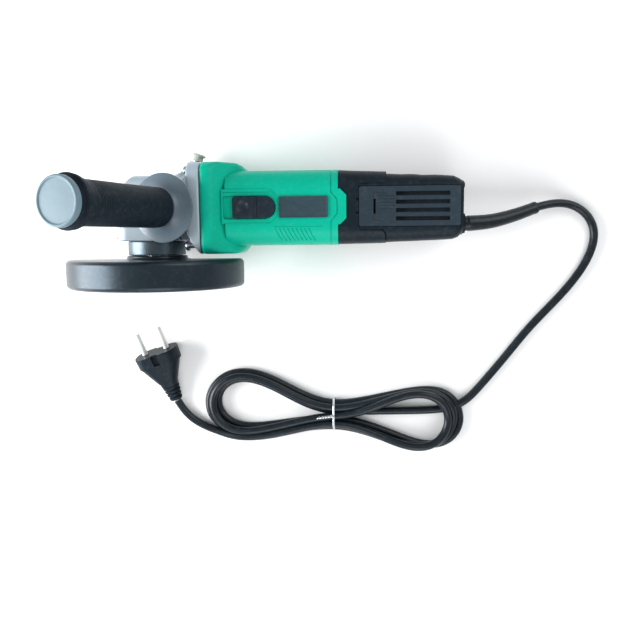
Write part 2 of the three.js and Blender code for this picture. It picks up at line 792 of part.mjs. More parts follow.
function rearHousing() {
  const outside = skin([
    tailSection(CASING_SEAM + GAP / 2, 27.6, -27.6, 27.6, 15),
    tailSection(156, 27, -27.4, TAIL_HALF_Z, 13),
    tailSection(179, 26.2, -27, TAIL_HALF_Z, 12),
    tailSection(181, 24.4, -26.4, TAIL_HALF_Z, 11),
    tailSection(205, 23.4, -25.6, TAIL_HALF_Z, 10),
    tailSection(231, 22.6, -24.4, TAIL_HALF_Z, 9),
    tailSection(TAIL, 19, -20, 25, 7),
  ]);
  const inside = skin([
    tailSection(CASING_SEAM - THROUGH, 24.6, -24.6, 24.6, 12),
    tailSection(156, 24, -24.4, 24.2, 11),
    tailSection(179, 23.2, -24, 24.2, 10),
    tailSection(231, 19.6, -21.4, 24.2, 8),
    tailSection(TAIL - 3, 17, -18, 22, 5),
  ]);
  const gland = alongX(bar(8.5, TAIL - 8, TAIL + 4.5, 20)).translate(0, GLAND_Y, 0);
  const corner = alongX(bar(4.2, TAIL - 6, TAIL + 2.4, 12)).translate(0, 15.6, 8);
  const cutters = [
    inside,
    alongX(bar(5.9, TAIL - 12, TAIL + 8, 16)).translate(0, GLAND_Y, 0),
    seamTongue(1, GAP),
    seamTongue(-1, GAP),
  ];
  [-1, 1].forEach((side) => {
    const [low, high] = [TAIL_HALF_Z - PANEL_THICK - GAP, 40];
    const [z0, z1] = side > 0 ? [low, high] : [-high, -low];
    const [w0, w1] = side > 0 ? [20, high] : [-high, -20];
    cutters.push(box(PANEL_START, PANEL_END, -PANEL_HALF, PANEL_HALF, z0, z1));
    cutters.push(box(PANEL_START + 4, PANEL_END - 6, -PANEL_HALF + 3, PANEL_HALF - 3, w0, w1));
  });
  return cutSolid(join(outside, gland, corner), ...cutters);
}

const SLOT_START = 186.4;
const SLOT_END = 226;
const SLOT_PITCH = 6.05;

function ventCover(side) {
  const [low, high] = [TAIL_HALF_Z - PANEL_THICK, TAIL_HALF_Z - 0.1];
  const [z0, z1] = side > 0 ? [low, high] : [-high, -low];
  const cover = box(
    PANEL_START + GAP,
    PANEL_END - GAP,
    -PANEL_HALF + GAP,
    PANEL_HALF - GAP,
    z0,
    z1,
  );
  const slots = [-1.5, -0.5, 0.5, 1.5].map((row) =>
    box(SLOT_START, SLOT_END, row * SLOT_PITCH - 1.5, row * SLOT_PITCH + 1.5, z0 - 1, z1 + 1),
  );
  slots.push(box(169.9, 171.5, -5.4, 5.4, z0 - 1, z1 + 1));
  return cut(cover, ...slots);
}

// ---------- switch ----------
function switchSlider() {
  const shape = new THREE.Shape();
  const end = SLIDER_END - SLIDER_HALF;
  shape.moveTo(SLIDER_START, -SLIDER_HALF);
  shape.lineTo(end, -SLIDER_HALF);
  shape.absarc(end, 0, SLIDER_HALF, -RIGHT, RIGHT);
  shape.lineTo(SLIDER_START, SLIDER_HALF);
  const slab = new THREE.ExtrudeGeometry(shape, {
    depth: 31 - RECESS_FLOOR - GAP,
    curveSegments: 10,
    bevelEnabled: false,
  }).translate(0, 0, RECESS_FLOOR + GAP);
  const thumb = box(SLIDER_START + 1, SLIDER_START + 17, -SLIDER_HALF + 0.8, SLIDER_HALF - 0.8, 30.5, 32);
  const stem = box(76.5, 84.5, -2.6, 2.6, 24.2, RECESS_FLOOR + 1);
  return join(slab, thumb, stem);
}

function switchRod() {
  return box(74, 163.5, -4, 4, 22, 23.9);
}

function switchBox() {
  const body = box(166, 192, -9, 9, 2, 21);
  const terminals = box(191, 200, -8, 8, 6, 17);
  const actuator = box(163.9, 167, -3, 3, 17.5, 20.5);
  return join(body, terminals, actuator);
}

// ---------- cord ----------
function path(points) {
  return new THREE.CatmullRomCurve3(
    points.map(([x, y, z]) => new THREE.Vector3(x, y, z)),
    false,
    "centripetal",
  );
}

const PROTECTOR_ROUTE = [
  [227, GLAND_Y, 0],
  [235, GLAND_Y, 0],
  [244, GLAND_Y, -0.3],
  [262, -11, -4],
  [281, -6.4, -11],
  [299.4, -0.3, -18.4],
];

// From the end of the protector, down to the surface, round to the right end of the hank.
const CORD_ROUTE = [
  [299.7, -0.2, -18.5],
  [312, 3, -23.5],
  [325, 4, -28.2],
  [337.5, 0.2, CORD_Z],
  [346.8, -8.6, CORD_Z],
  [351.2, -20, CORD_Z],
  [349, -33, CORD_Z],
  [342.7, -47, CORD_Z],
  [333.5, -60.5, CORD_Z],
  [322.5, -73.5, CORD_Z],
  [310.2, -86.6, CORD_Z],
  [298, -100.2, CORD_Z],
  [282, -121, CORD_Z],
  [266, -141, CORD_Z],
  [255.4, -153.6, CORD_Z],
  [247, -162.5, CORD_Z],
];

// From the left end of the hank up to the plug.
const PLUG_CORD_ROUTE = [
  [56, -189.4, CORD_Z],
  [44, -188.7, CORD_Z],
  [33, -185.4, CORD_Z],
  [25, -182.3, CORD_Z],
  [16.5, -177.4, CORD_Z],
  [9.6, -170.6, CORD_Z + 0.2],
  [5.6, -163.4, CORD_Z + 0.8],
  [4.2, -160, CORD_Z + 1.2],
];

// The outer edge of the hank, seen from above.
const HANK_EDGE = [
  [26.5, -160],
  [33, -145],
  [47, -136.4],
  [64, -134.6],
  [88, -141],
  [112, -153],
  [TIE_X, -160.4],
  [166, -159.6],
  [192, -153.6],
  [216, -151],
  [236, -155],
  [248.6, -167],
  [248.2, -180],
  [238, -192],
  [220, -197],
  [196, -194],
  [166, -185.6],
  [TIE_X, -184],
  [108, -187.6],
  [80, -192.4],
  [58, -191],
  [41, -183.4],
  [30, -172],
];

function cordProtector() {
  const radiusAt = (share) => {
    if (share < 0.05) return 6.9;
    if (share < 0.22) return 5.6;
    if (share > 0.95) return 4.9;
    return THREE.MathUtils.lerp(6.1, 4.6, (share - 0.22) / 0.73);
  };
  return taper(path(PROTECTOR_ROUTE), radiusAt, 24, 12);
}

// The room that a tube's end takes in the hank: the same route, a gap wider and longer.
function sleeve(route) {
  const [end, before] = route.map(([x, y, z]) => new THREE.Vector3(x, y, z));
  const further = end.clone().add(end.clone().sub(before).setLength(2 * GAP));
  return tube(path([further.toArray(), ...route.slice(1)]), CORD_R + 1.5 * GAP, 12, 16);
}

function cordHank() {
  const curve = new THREE.SplineCurve(
    [...HANK_EDGE, HANK_EDGE[0]].map(([x, y]) => new THREE.Vector2(x, y)),
  );
  const shape = new THREE.Shape(curve.getPoints(HANK_EDGE.length * 2).slice(0, -1).reverse());
  const hank = new THREE.ExtrudeGeometry(shape, { depth: HANK_HEIGHT, bevelEnabled: false });
  hank.translate(0, 0, FLOOR + 0.05);
  const [top, low] = [FLOOR + HANK_HEIGHT + 2, FLOOR - 2];
  const around = toSolid(box(TIE_X - 1.5, TIE_X + 1.5, -200, -140, low, top));
  const [left, right] = TIE_EDGES;
  const waist = toSolid(
    box(TIE_X - 3, TIE_X + 3, left + 1.3, right - 1.3, FLOOR + 1.05, FLOOR + TIE_HEIGHT - 1),
  );
  const ends = [CORD_ROUTE.slice(-3).reverse(), PLUG_CORD_ROUTE.slice(0, 4)];
  return cutSolid(toSolid(hank).subtract(around.subtract(waist)), ...ends.map(sleeve));
}

function twistTie() {
  const wire = 0.9;
  const [left, right] = TIE_EDGES;
  const [low, high] = [FLOOR + 0.1, FLOOR + TIE_HEIGHT];
  const outer = box(TIE_X - 1, TIE_X + 1, left, right, low, high);
  const inner = box(TIE_X - 2, TIE_X + 2, left + wire, right - wire, low + 0.65, high - 0.7);
  return cut(outer, inner);
}

// The plug's own frame: X from its tail to its face, Y across the pins.
const PLUG_TAIL = new THREE.Vector3(3.6, -159.2, FLOOR + 4.75);
const PLUG_YAW = THREE.MathUtils.degToRad(108.2);
const PLUG_RISE = THREE.MathUtils.degToRad(10.5);
const PLUG_FACE = 46;
const PIN_R = 2.4;
const PIN_LENGTH = 19;
const PIN_SPACING = 19;

function placePlug(geometry) {
  geometry.rotateY(-PLUG_RISE).rotateZ(PLUG_YAW);
  return geometry.translate(PLUG_TAIL.x, PLUG_TAIL.y, PLUG_TAIL.z);
}

function plugBody() {
  const body = skin([
    section(0.6, 4.6, 4.2, 4),
    section(4, 6, 5, 4.5),
    section(16, 7.8, 6.6, 5),
    section(18, 8.6, 7.4, 5),
    section(32, 16.6, 10.6, 6),
    section(35, 18.4, 11.2, 8),
    section(PLUG_FACE - 1.5, 19.8, 12.7, 11),
    section(PLUG_FACE, 18.6, 11.8, 10.5),
  ]);
  const notches = [-1, 1].map((side) =>
    box(36, PLUG_FACE + 2, -2.6, 2.6, side > 0 ? 9.6 : -16, side > 0 ? 16 : -9.6),
  );
  return cut(placePlug(body), ...notches.map(placePlug));
}

function plugPin(side) {
  const base = PLUG_FACE + GAP;
  const profile = [
    [0, base],
    [PIN_R, base],
    [PIN_R, base + PIN_LENGTH - 2],
    [PIN_R * 0.55, base + PIN_LENGTH - 0.4],
    [0, base + PIN_LENGTH],
  ];
  return placePlug(alongX(turned(profile, 14)).translate(0, (side * PIN_SPACING) / 2, 0));
}

// ---------- the assembly ----------
const tool = new THREE.Group();
const lead = new THREE.Group();

function add(group, name, shape, material) {
  const geometry = shape.isBufferGeometry ? shape : toGeometry(shape);
  const mesh = new THREE.Mesh(geometry, material());
  mesh.name = name;
  group.add(mesh);
}

add(tool, "gear_housing", gearHousing(), castAluminium);
add(tool, "bearing_box", bearingBox(), castAluminium);
CASE_SCREW_PLACES.forEach(([y, z], i) => {
  const shape = toGeometry(screw(CASE_SCREW_R, 17, 3.9, 3)).rotateZ(RIGHT);
  add(tool, `housing_screw_${i + 1}`, shape.translate(FLANGE_START - GAP, y, z), steel);
});
BOX_SCREW_PLACES.forEach(([x, z], i) => {
  const shape = toGeometry(screw(BOX_SCREW_R, 16.5, 3.4, 2.4)).rotateX(2 * RIGHT);
  add(tool, `bearing_box_screw_${i + 1}`, shape.translate(x, BOX_BOTTOM + 3.2 - GAP, z), steel);
});
add(tool, "spindle", spindle(), steel);
add(tool, "crown_gear", crownGear(), darkSteel);
add(tool, "spindle_bearing_outer", ring(12.8, 16, BOX_BOTTOM - 0.2, BOX_BOTTOM + 9.8, 24), steel);
add(tool, "spindle_bearing_inner", ring(SPINDLE_R + GAP, 9.5, BOX_BOTTOM - 0.2, BOX_BOTTOM + 9.8, 20), steel);
add(tool, "spindle_bush", ring(5, 7 - GAP, 13.4, 20.6, 16), brass);
add(tool, "lock_button", lockButton(), whitePlastic);
add(tool, "lock_spring", lockSpring(), steel);
add(tool, "inner_flange", innerFlange(), darkSteel);
add(tool, "flange_nut", flangeNut(), darkSteel);
add(tool, "guard", guard(), paintedSteel);
add(tool, "guard_band", guardBand(), paintedSteel);
add(tool, "guard_clamp_screw", guardScrew(), steel);
add(tool, "handle_disc", handleDisc(), blackPlastic);
add(tool, "handle_grip", handleGrip(), gripRubber);
add(tool, "handle_end_cap", handleCap(), capPlastic);
add(tool, "handle_stud", alongHandle(bar(4, 22.6, 61, 14)), steel);
add(tool, "motor_housing", motorHousing(), greenPlastic);
add(tool, "name_plate", box(100.4, 136.5, -7.8, 7.8, BARREL + GAP, BARREL + 1.1), labelFinish);
add(tool, "pinion", pinion(), darkSteel);
add(tool, "armature_shaft", armatureShaft(), steel);
add(tool, "front_bearing_outer", alongX(ring(10.6, 13, 25, 33, 24)), steel);
add(tool, "front_bearing_inner", alongX(ring(SHAFT_R + GAP, 7.6, 25, 33, 16)), steel);
add(tool, "fan", fan(), whitePlastic);
add(tool, "fan_baffle", alongX(ring(17, 29.2, 51.6, 53.2, 28)), blackPlastic);
add(tool, "armature_winding", armatureWinding(), copper);
add(tool, "rotor_core", slottedRing(12, ROTOR_BORE + GAP, ROTOR_R, 3, STATOR_START, STATOR_END), darkSteel);
add(tool, "commutator", slottedRing(16, SHAFT_R + GAP, COMMUTATOR_R, 0.8, 118, 134), copper);
add(tool, "stator_core", statorCore(), darkSteel);
add(tool, "field_coil_upper", fieldCoil(1), copper);
add(tool, "field_coil_lower", fieldCoil(-1), copper);
[1, -1].forEach((side, i) => {
  add(tool, `brush_holder_${i + 1}`, brushHolder(side), brass);
  add(tool, `carbon_brush_${i + 1}`, carbonBrush(side), carbon);
});
add(tool, "rear_bearing_outer", alongX(ring(7.3, 9.5, 135.4, 140.8, 20)), steel);
add(tool, "rear_bearing_inner", alongX(ring(3.4 + GAP, 5.4, 136.2, 140.8, 14)), steel);
add(tool, "rear_housing", rearHousing(), blackPlastic);
add(tool, "vent_cover_left", ventCover(1), blackPlastic);
add(tool, "vent_cover_right", ventCover(-1), blackPlastic);
add(tool, "switch_slider", switchSlider(), switchPlastic);
add(tool, "switch_rod", switchRod(), whitePlastic);
add(tool, "switch_box", switchBox(), blackPlastic);
add(tool, "cord_protector", cordProtector(), cordRubber);

add(lead, "cord", tube(path(CORD_ROUTE), CORD_R, 24, 8), cordRubber);
add(lead, "cord_hank", cordHank(), cordRubber);
add(lead, "cord_plug_end", tube(path(PLUG_CORD_ROUTE), CORD_R, 9, 8), cordRubber);
add(lead, "twist_tie", twistTie(), steel);
add(lead, "plug_body", plugBody(), blackPlastic);
add(lead, "plug_pin_1", plugPin(1), steel);
add(lead, "plug_pin_2", plugPin(-1), steel);

// The origin goes under the middle of the tool itself, on the surface that it lies on.
const bounds = new THREE.Box3().setFromObject(tool);
const middle = bounds.getCenter(new THREE.Vector3());
const grinder = new THREE.Group();
grinder.add(tool, lead);
grinder.position.set(-middle.x, -middle.y, -FLOOR);

export default grinder;
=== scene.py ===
import json
import math

import bpy
import numpy as np
from mathutils import Euler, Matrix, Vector

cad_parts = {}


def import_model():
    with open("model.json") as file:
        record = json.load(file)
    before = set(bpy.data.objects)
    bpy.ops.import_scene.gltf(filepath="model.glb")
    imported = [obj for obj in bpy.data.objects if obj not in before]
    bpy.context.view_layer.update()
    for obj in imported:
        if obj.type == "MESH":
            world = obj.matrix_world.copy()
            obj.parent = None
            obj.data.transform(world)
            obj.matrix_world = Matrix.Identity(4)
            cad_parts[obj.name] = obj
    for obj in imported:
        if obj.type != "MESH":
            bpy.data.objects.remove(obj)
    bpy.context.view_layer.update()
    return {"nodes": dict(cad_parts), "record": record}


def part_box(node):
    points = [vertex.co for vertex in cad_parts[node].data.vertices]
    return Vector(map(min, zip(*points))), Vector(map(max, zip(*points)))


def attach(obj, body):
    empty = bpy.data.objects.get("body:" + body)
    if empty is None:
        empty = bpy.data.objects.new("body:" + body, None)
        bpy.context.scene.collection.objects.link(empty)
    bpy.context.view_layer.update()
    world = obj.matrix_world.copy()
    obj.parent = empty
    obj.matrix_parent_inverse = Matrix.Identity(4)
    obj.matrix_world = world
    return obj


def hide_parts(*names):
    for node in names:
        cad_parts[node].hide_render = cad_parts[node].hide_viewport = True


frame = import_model()

# ---------- the tool's own frame ----------
# Pieces are modelled in millimetres about the point where the spindle axis meets the armature
# axis: X runs to the cord end, Y away from the wheel and Z to the side handle.
MM = 0.001
shaft_low, shaft_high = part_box("armature_shaft")
spindle_low, spindle_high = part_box("spindle")
ORIGIN = Vector((
    (spindle_low.x + spindle_high.x) / 2,
    (shaft_low.y + shaft_high.y) / 2,
    (spindle_low.z + spindle_high.z) / 2,
))
FLOOR = -ORIGIN.z / MM
GAP = 0.3


def world(point):
    """A point of the tool's frame, in metres in the row frame."""
    return ORIGIN + Vector(point) * MM


# ---------- camera, floor and light ----------
CAMERA_PLACE = (153.94, -23.27, 522.35)
CAMERA_TURN = (-6.67, 3.056, -0.522)
CAMERA_LENS = 37.85


def add_camera():
    bpy.ops.object.camera_add(location=world(CAMERA_PLACE))
    camera = bpy.context.object
    camera.rotation_euler = [math.radians(angle) for angle in CAMERA_TURN]
    camera.data.lens = CAMERA_LENS
    camera.data.sensor_width = 36
    camera.data.clip_start = 0.01
    bpy.context.scene.camera = camera


def add_light(name, place, target, size, power):
    bpy.ops.object.light_add(type="AREA", location=place)
    light = bpy.context.object
    light.name = name
    light.data.shape = "DISK"
    light.data.size = size
    light.data.energy = power
    light.rotation_euler = (Vector(target) - Vector(place)).to_track_quat("-Z", "Y").to_euler()


def add_studio():
    bpy.ops.mesh.primitive_plane_add(size=8, location=(0, 0, -0.0002))
    floor = bpy.context.object
    floor.name = "floor"
    material = bpy.data.materials.new("pale floor")
    material.use_nodes = True
    shader = material.node_tree.nodes["Principled BSDF"]
    shader.inputs["Base Color"].default_value = (0.9, 0.9, 0.9, 1)
    shader.inputs["Roughness"].default_value = 0.9
    shader.inputs["Specular IOR Level"].default_value = 0.1
    floor.data.materials.append(material)
    sky = bpy.data.worlds.new("soft studio")
    sky.use_nodes = True
    sky.node_tree.nodes["Background"].inputs["Color"].default_value = (0.93, 0.97, 1, 1)
    sky.node_tree.nodes["Background"].inputs["Strength"].default_value = 0.47
    bpy.context.scene.world = sky
    bpy.context.scene.view_settings.view_transform = "Standard"
    add_light("window", (-1.0, -0.15, 0.4), (0.0, 0.0, 0.03), 0.9, 28)
    add_light("far wall", (0.95, 0.75, 0.9), (0.05, -0.05, 0.0), 1.2, 10)
    add_light("near wall", (0.2, -1.2, 0.95), (0.05, -0.05, 0.0), 1.2, 12)


add_camera()
add_studio()


# ---------- modelling by hand ----------
def at_rest():
    """Back to object mode, with nothing selected."""
    if bpy.context.object and bpy.context.object.mode != "OBJECT":
        bpy.ops.object.mode_set(mode="OBJECT")
    bpy.ops.object.select_all(action="DESELECT")


def take(piece):
    """Makes a piece the only selected one."""
    at_rest()
    piece.select_set(True)
    bpy.context.view_layer.objects.active = piece
    return piece


def apply_place(piece):
    take(piece)
    bpy.ops.object.transform_apply(location=True, rotation=True, scale=True)
    return piece


def edit(piece, kind="FACE", test=None):
    """Edit mode with the faces, edges or points selected that pass the test."""
    take(piece)
    mesh = piece.data
    bpy.context.tool_settings.mesh_select_mode = [kind == mode for mode in ("VERT", "EDGE", "FACE")]
    chosen = {"FACE": mesh.polygons, "EDGE": mesh.edges, "VERT": mesh.vertices}[kind]
    if test is not None:
        for group in (mesh.polygons, mesh.edges, mesh.vertices):
            for item in group:
                item.select = False
        for item in chosen:
            item.select = test(item)
    bpy.ops.object.mode_set(mode="EDIT")
    if test is None:
        bpy.ops.mesh.select_all(action="SELECT")


def block(x0, x1, y0, y1, z0, z1):
    """A block between two opposite corners."""
    at_rest()
    middle = ((x0 + x1) / 2, (y0 + y1) / 2, (z0 + z1) / 2)
    bpy.ops.mesh.primitive_cube_add(size=1, location=middle)
    piece = bpy.context.object
    piece.scale = (x1 - x0, y1 - y0, z1 - z0)
    return apply_place(piece)


def rod(radius, start, end, vertices=48):
    """A round bar from one point to another."""
    at_rest()
    start, end = Vector(start), Vector(end)
    along = end - start
    bpy.ops.mesh.primitive_cone_add(
        vertices=vertices,
        radius1=radius,
        radius2=radius,
        depth=along.length,
        location=(start + end) / 2,
        rotation=along.to_track_quat("Z", "Y").to_euler(),
    )
    return apply_place(bpy.context.object)


def round_along(piece, axis, radius, segments=8, test=None):
    """Rounds the edges that run along an axis."""
    points = piece.data.vertices

    def chosen(edge):
        a, b = (points[i].co for i in edge.vertices)
        along = (b - a).normalized()
        return abs(along[axis]) > 0.99 and (test is None or test((a + b) / 2))

    edit(piece, "EDGE", chosen)
    bpy.ops.mesh.bevel(offset=radius, segments=segments, profile=0.5)
    at_rest()
    return piece


def slice_off(piece, point, normal):
    """Cuts away what lies past a plane, and closes the cut."""
    edit(piece)
    bpy.ops.mesh.bisect(plane_co=point, plane_no=normal, use_fill=True, clear_outer=True)
    at_rest()
    return piece


def drawn_out(stations, corner, segments=8):
    """A rounded rectangle drawn out along X through stations of (x, middle y, half y, half z)."""
    at_rest()
    x, middle, half_y, half_z = stations[0]
    bpy.ops.mesh.primitive_plane_add(size=2, rotation=(0, math.pi / 2, 0))
    piece = bpy.context.object
    apply_place(piece)
    piece.scale = (1, half_y, half_z)
    piece.location = (x, middle, 0)
    apply_place(piece)
    edit(piece, "VERT")
    bpy.ops.mesh.bevel(offset=corner, segments=segments, affect="VERTICES")
    bpy.ops.mesh.select_mode(type="FACE")
    bpy.ops.mesh.select_all(action="SELECT")
    for before, after in zip(stations, stations[1:]):
        step = (after[0] - before[0], after[1] - before[1], 0)
        bpy.ops.mesh.extrude_region_move(TRANSFORM_OT_translate={"value": step})
        bpy.ops.transform.resize(
            value=(1, after[2] / before[2], after[3] / before[3]),
            center_override=(after[0], after[1], 0),
        )
    bpy.ops.mesh.select_all(action="SELECT")
    bpy.ops.mesh.normals_make_consistent(inside=False)
    at_rest()
    return piece


def turned(profile, steps=96):
    """A profile of (radius, height) spun about Y; it closes on itself, or starts and ends on the axis."""
    at_rest()
    bpy.ops.mesh.primitive_plane_add(size=1)
    piece = bpy.context.object
    edit(piece, "VERT")
    bpy.ops.mesh.merge(type="CENTER")
    bpy.ops.transform.translate(value=(profile[0][0], profile[0][1], 0))
    for before, after in zip(profile, profile[1:]):
        step = (after[0] - before[0], after[1] - before[1], 0)
        bpy.ops.mesh.extrude_vertices_move(TRANSFORM_OT_translate={"value": step})
    bpy.ops.mesh.select_all(action="SELECT")
    bpy.ops.mesh.remove_doubles(threshold=0.001)
    bpy.ops.mesh.spin(steps=steps, angle=math.tau, center=(0, 0, 0), axis=(0, 1, 0))
    bpy.ops.mesh.select_all(action="SELECT")
    bpy.ops.mesh.remove_doubles(threshold=0.001)
    bpy.ops.mesh.delete_loose()
    bpy.ops.mesh.select_all(action="SELECT")
    bpy.ops.mesh.normals_make_consistent(inside=False)
    at_rest()
    return piece


def use(piece, kind, **settings):
    """Adds a modifier and applies it."""
    take(piece)
    modifier = piece.modifiers.new(kind.lower(), kind)
    for name, value in settings.items():
        setattr(modifier, name, value)
    bpy.ops.object.modifier_apply(modifier=modifier.name)
    return piece


def combine(piece, others, operation, overlapping=False):
    for other in others:
        use(piece, "BOOLEAN", object=other, operation=operation, solver="EXACT", use_self=overlapping)
        bpy.data.objects.remove(other)
    return piece


def cut(piece, *tools):
    return combine(piece, tools, "DIFFERENCE")


def fuse(piece, *others):
    return combine(piece, others, "UNION")


def soften(piece, width, segments=2, angle=32):
    """Small round edges everywhere that the surface turns by more than the angle."""
    return use(
        piece,
        "BEVEL",
        width=width,
        segments=segments,
        limit_method="ANGLE",
        angle_limit=math.radians(angle),
        harden_normals=False,
    )


def cast(piece, grid, rounds=6):
    """One skin with the soft edges of a casting."""
    use(piece, "REMESH", mode="VOXEL", voxel_size=grid)
    use(piece, "SMOOTH", factor=0.5, iterations=rounds)
    take(piece)
    bpy.ops.object.shade_smooth()
    return piece


def copy_of(piece):
    take(piece)
    bpy.ops.object.duplicate()
    return bpy.context.object


def moved(piece, place=(0, 0, 0), turn=(0, 0, 0)):
    """Turns a piece about the origin, by degrees about X, Y and Z, and then shifts it."""
    piece.rotation_euler = Euler([math.radians(angle) for angle in turn])
    piece.location = place
    return apply_place(piece)


def settle(piece, name, body, slot, *nodes, angle=32, look=None):
    """Scales a finished piece to metres in the row frame and hands it to its body."""
    piece.name = name
    piece.data.name = name
    piece.scale = (MM, MM, MM)
    piece.location = ORIGIN
    apply_place(piece)
    if angle is not None:
        bpy.ops.object.shade_smooth_by_angle(angle=math.radians(angle))
        use(piece, "WEIGHTED_NORMAL", keep_sharp=True)
    piece.data.materials.clear()
    piece.data.materials.append(FINISHES[look or slot])
    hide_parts(*nodes)
    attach(piece, body)
    return piece


# ---------- finishes ----------
def linear(hex_colour):
    """A colour written as in a paint list, as linear light."""
    parts = [int(hex_colour[i:i + 2], 16) / 255 for i in (0, 2, 4)]
    return [part / 12.92 if part <= 0.04045 else ((part + 0.055) / 1.055) ** 2.4 for part in parts]


def new_group(name, inputs, outputs):
    """A shader node group with named sockets, and a helper that adds nodes to it."""
    group = bpy.data.node_groups.new(name, "ShaderNodeTree")
    for socket, kind, value in inputs:
        made = group.interface.new_socket(socket, in_out="INPUT", socket_type=kind)
        if value is not None:
            made.default_value = value
    for socket, kind in outputs:
        group.interface.new_socket(socket, in_out="OUTPUT", socket_type=kind)
    return group, group.nodes.new("NodeGroupInput"), group.nodes.new("NodeGroupOutput")


def add_node(tree, kind, links=(), **settings):
    """Adds a node, sets its values by socket name and links (socket, from output) pairs."""
    node = tree.nodes.new(kind)
    for name, value in settings.items():
        setattr(node, name, value)
    for socket, source in links:
        if isinstance(source, bpy.types.NodeSocket):
            tree.links.new(source, node.inputs[socket])
        else:
            node.inputs[socket].default_value = source
    return node


def mould_grain_group():
    """The fine texture of a mould or a cast skin: its height, and the same as a tone."""
    group, given, result = new_group(
        "mould grain",
        [("Vector", "NodeSocketVector", None), ("Scale", "NodeSocketFloat", 2500.0)],
        [("Height", "NodeSocketFloat"), ("Tone", "NodeSocketFloat")],
    )
    scale, vector = given.outputs["Scale"], given.outputs["Vector"]
    fine = add_node(group, "ShaderNodeTexNoise", [("Vector", vector), ("Scale", scale), ("Detail", 3.0)])
    wide = add_node(group, "ShaderNodeMath", [(0, scale), (1, 0.22)], operation="MULTIPLY")
    soft = add_node(group, "ShaderNodeTexNoise", [("Vector", vector), ("Scale", wide.outputs[0])])
    both = add_node(
        group,
        "ShaderNodeMath",
        [(0, fine.outputs["Fac"]), (1, soft.outputs["Fac"])],
        operation="ADD",
    )
    half = add_node(group, "ShaderNodeMath", [(0, both.outputs[0]), (1, 0.5)], operation="MULTIPLY")
    group.links.new(half.outputs[0], result.inputs["Height"])
    group.links.new(soft.outputs["Fac"], result.inputs["Tone"])
    return group


def handling_group():
    """Where hands and benches have rubbed a piece: a mask for its sharp edges, broken up by noise."""
    group, given, result = new_group(
        "handling wear",
        [("Vector", "NodeSocketVector", None), ("Reach", "NodeSocketFloat", 0.55)],
        [("Mask", "NodeSocketFloat")],
    )
    shape = group.nodes.new("ShaderNodeNewGeometry")
    patches = add_node(
        group,
        "ShaderNodeTexNoise",
        [("Vector", given.outputs["Vector"]), ("Scale", 180.0), ("Detail", 5.0)],
    )
    start = add_node(group, "ShaderNodeMath", [(0, given.outputs["Reach"]), (1, 0.06)], operation="ADD")
    edge = add_node(
        group,
        "ShaderNodeMapRange",
        [
            ("Value", shape.outputs["Pointiness"]),
            ("From Min", given.outputs["Reach"]),
            ("From Max", start.outputs[0]),
        ],
    )
    broken = add_node(
        group,
        "ShaderNodeMapRange",
        [("Value", patches.outputs["Fac"]), ("From Min", 0.42), ("From Max", 0.62)],
    )
    mask = add_node(
        group,
        "ShaderNodeMath",
        [(0, edge.outputs["Result"]), (1, broken.outputs["Result"])],
        operation="MULTIPLY",
    )
    group.links.new(mask.outputs[0], result.inputs["Mask"])
    return group


def drift_group():
    """Slow changes of tone over a surface, and a thin film of dust in patches."""
    group, given, result = new_group(
        "tone drift",
        [("Vector", "NodeSocketVector", None), ("Size", "NodeSocketFloat", 30.0)],
        [("Tone", "NodeSocketFloat"), ("Film", "NodeSocketFloat")],
    )
    vector, size = given.outputs["Vector"], given.outputs["Size"]
    slow = add_node(
        group,
        "ShaderNodeTexNoise",
        [("Vector", vector), ("Scale", size), ("Detail", 3.0), ("Roughness", 0.55)],
    )
    quick = add_node(group, "ShaderNodeMath", [(0, size), (1, 9.0)], operation="MULTIPLY")
    specks = add_node(
        group,
        "ShaderNodeTexNoise",
        [("Vector", vector), ("Scale", quick.outputs[0]), ("Detail", 8.0), ("Roughness", 0.7)],
    )
    film = add_node(
        group,
        "ShaderNodeMapRange",
        [("Value", specks.outputs["Fac"]), ("From Min", 0.5), ("From Max", 0.75)],
    )
    group.links.new(slow.outputs["Fac"], result.inputs["Tone"])
    group.links.new(film.outputs["Result"], result.inputs["Film"])
    return group


MOULD_GRAIN = mould_grain_group()
HANDLING = handling_group()
TONE_DRIFT = drift_group()


def group_node(tree, group, vector, **values):
    node = tree.nodes.new("ShaderNodeGroup")
    node.node_tree = group
    tree.links.new(vector, node.inputs["Vector"])
    for name, value in values.items():
        node.inputs[name].default_value = value
    return node


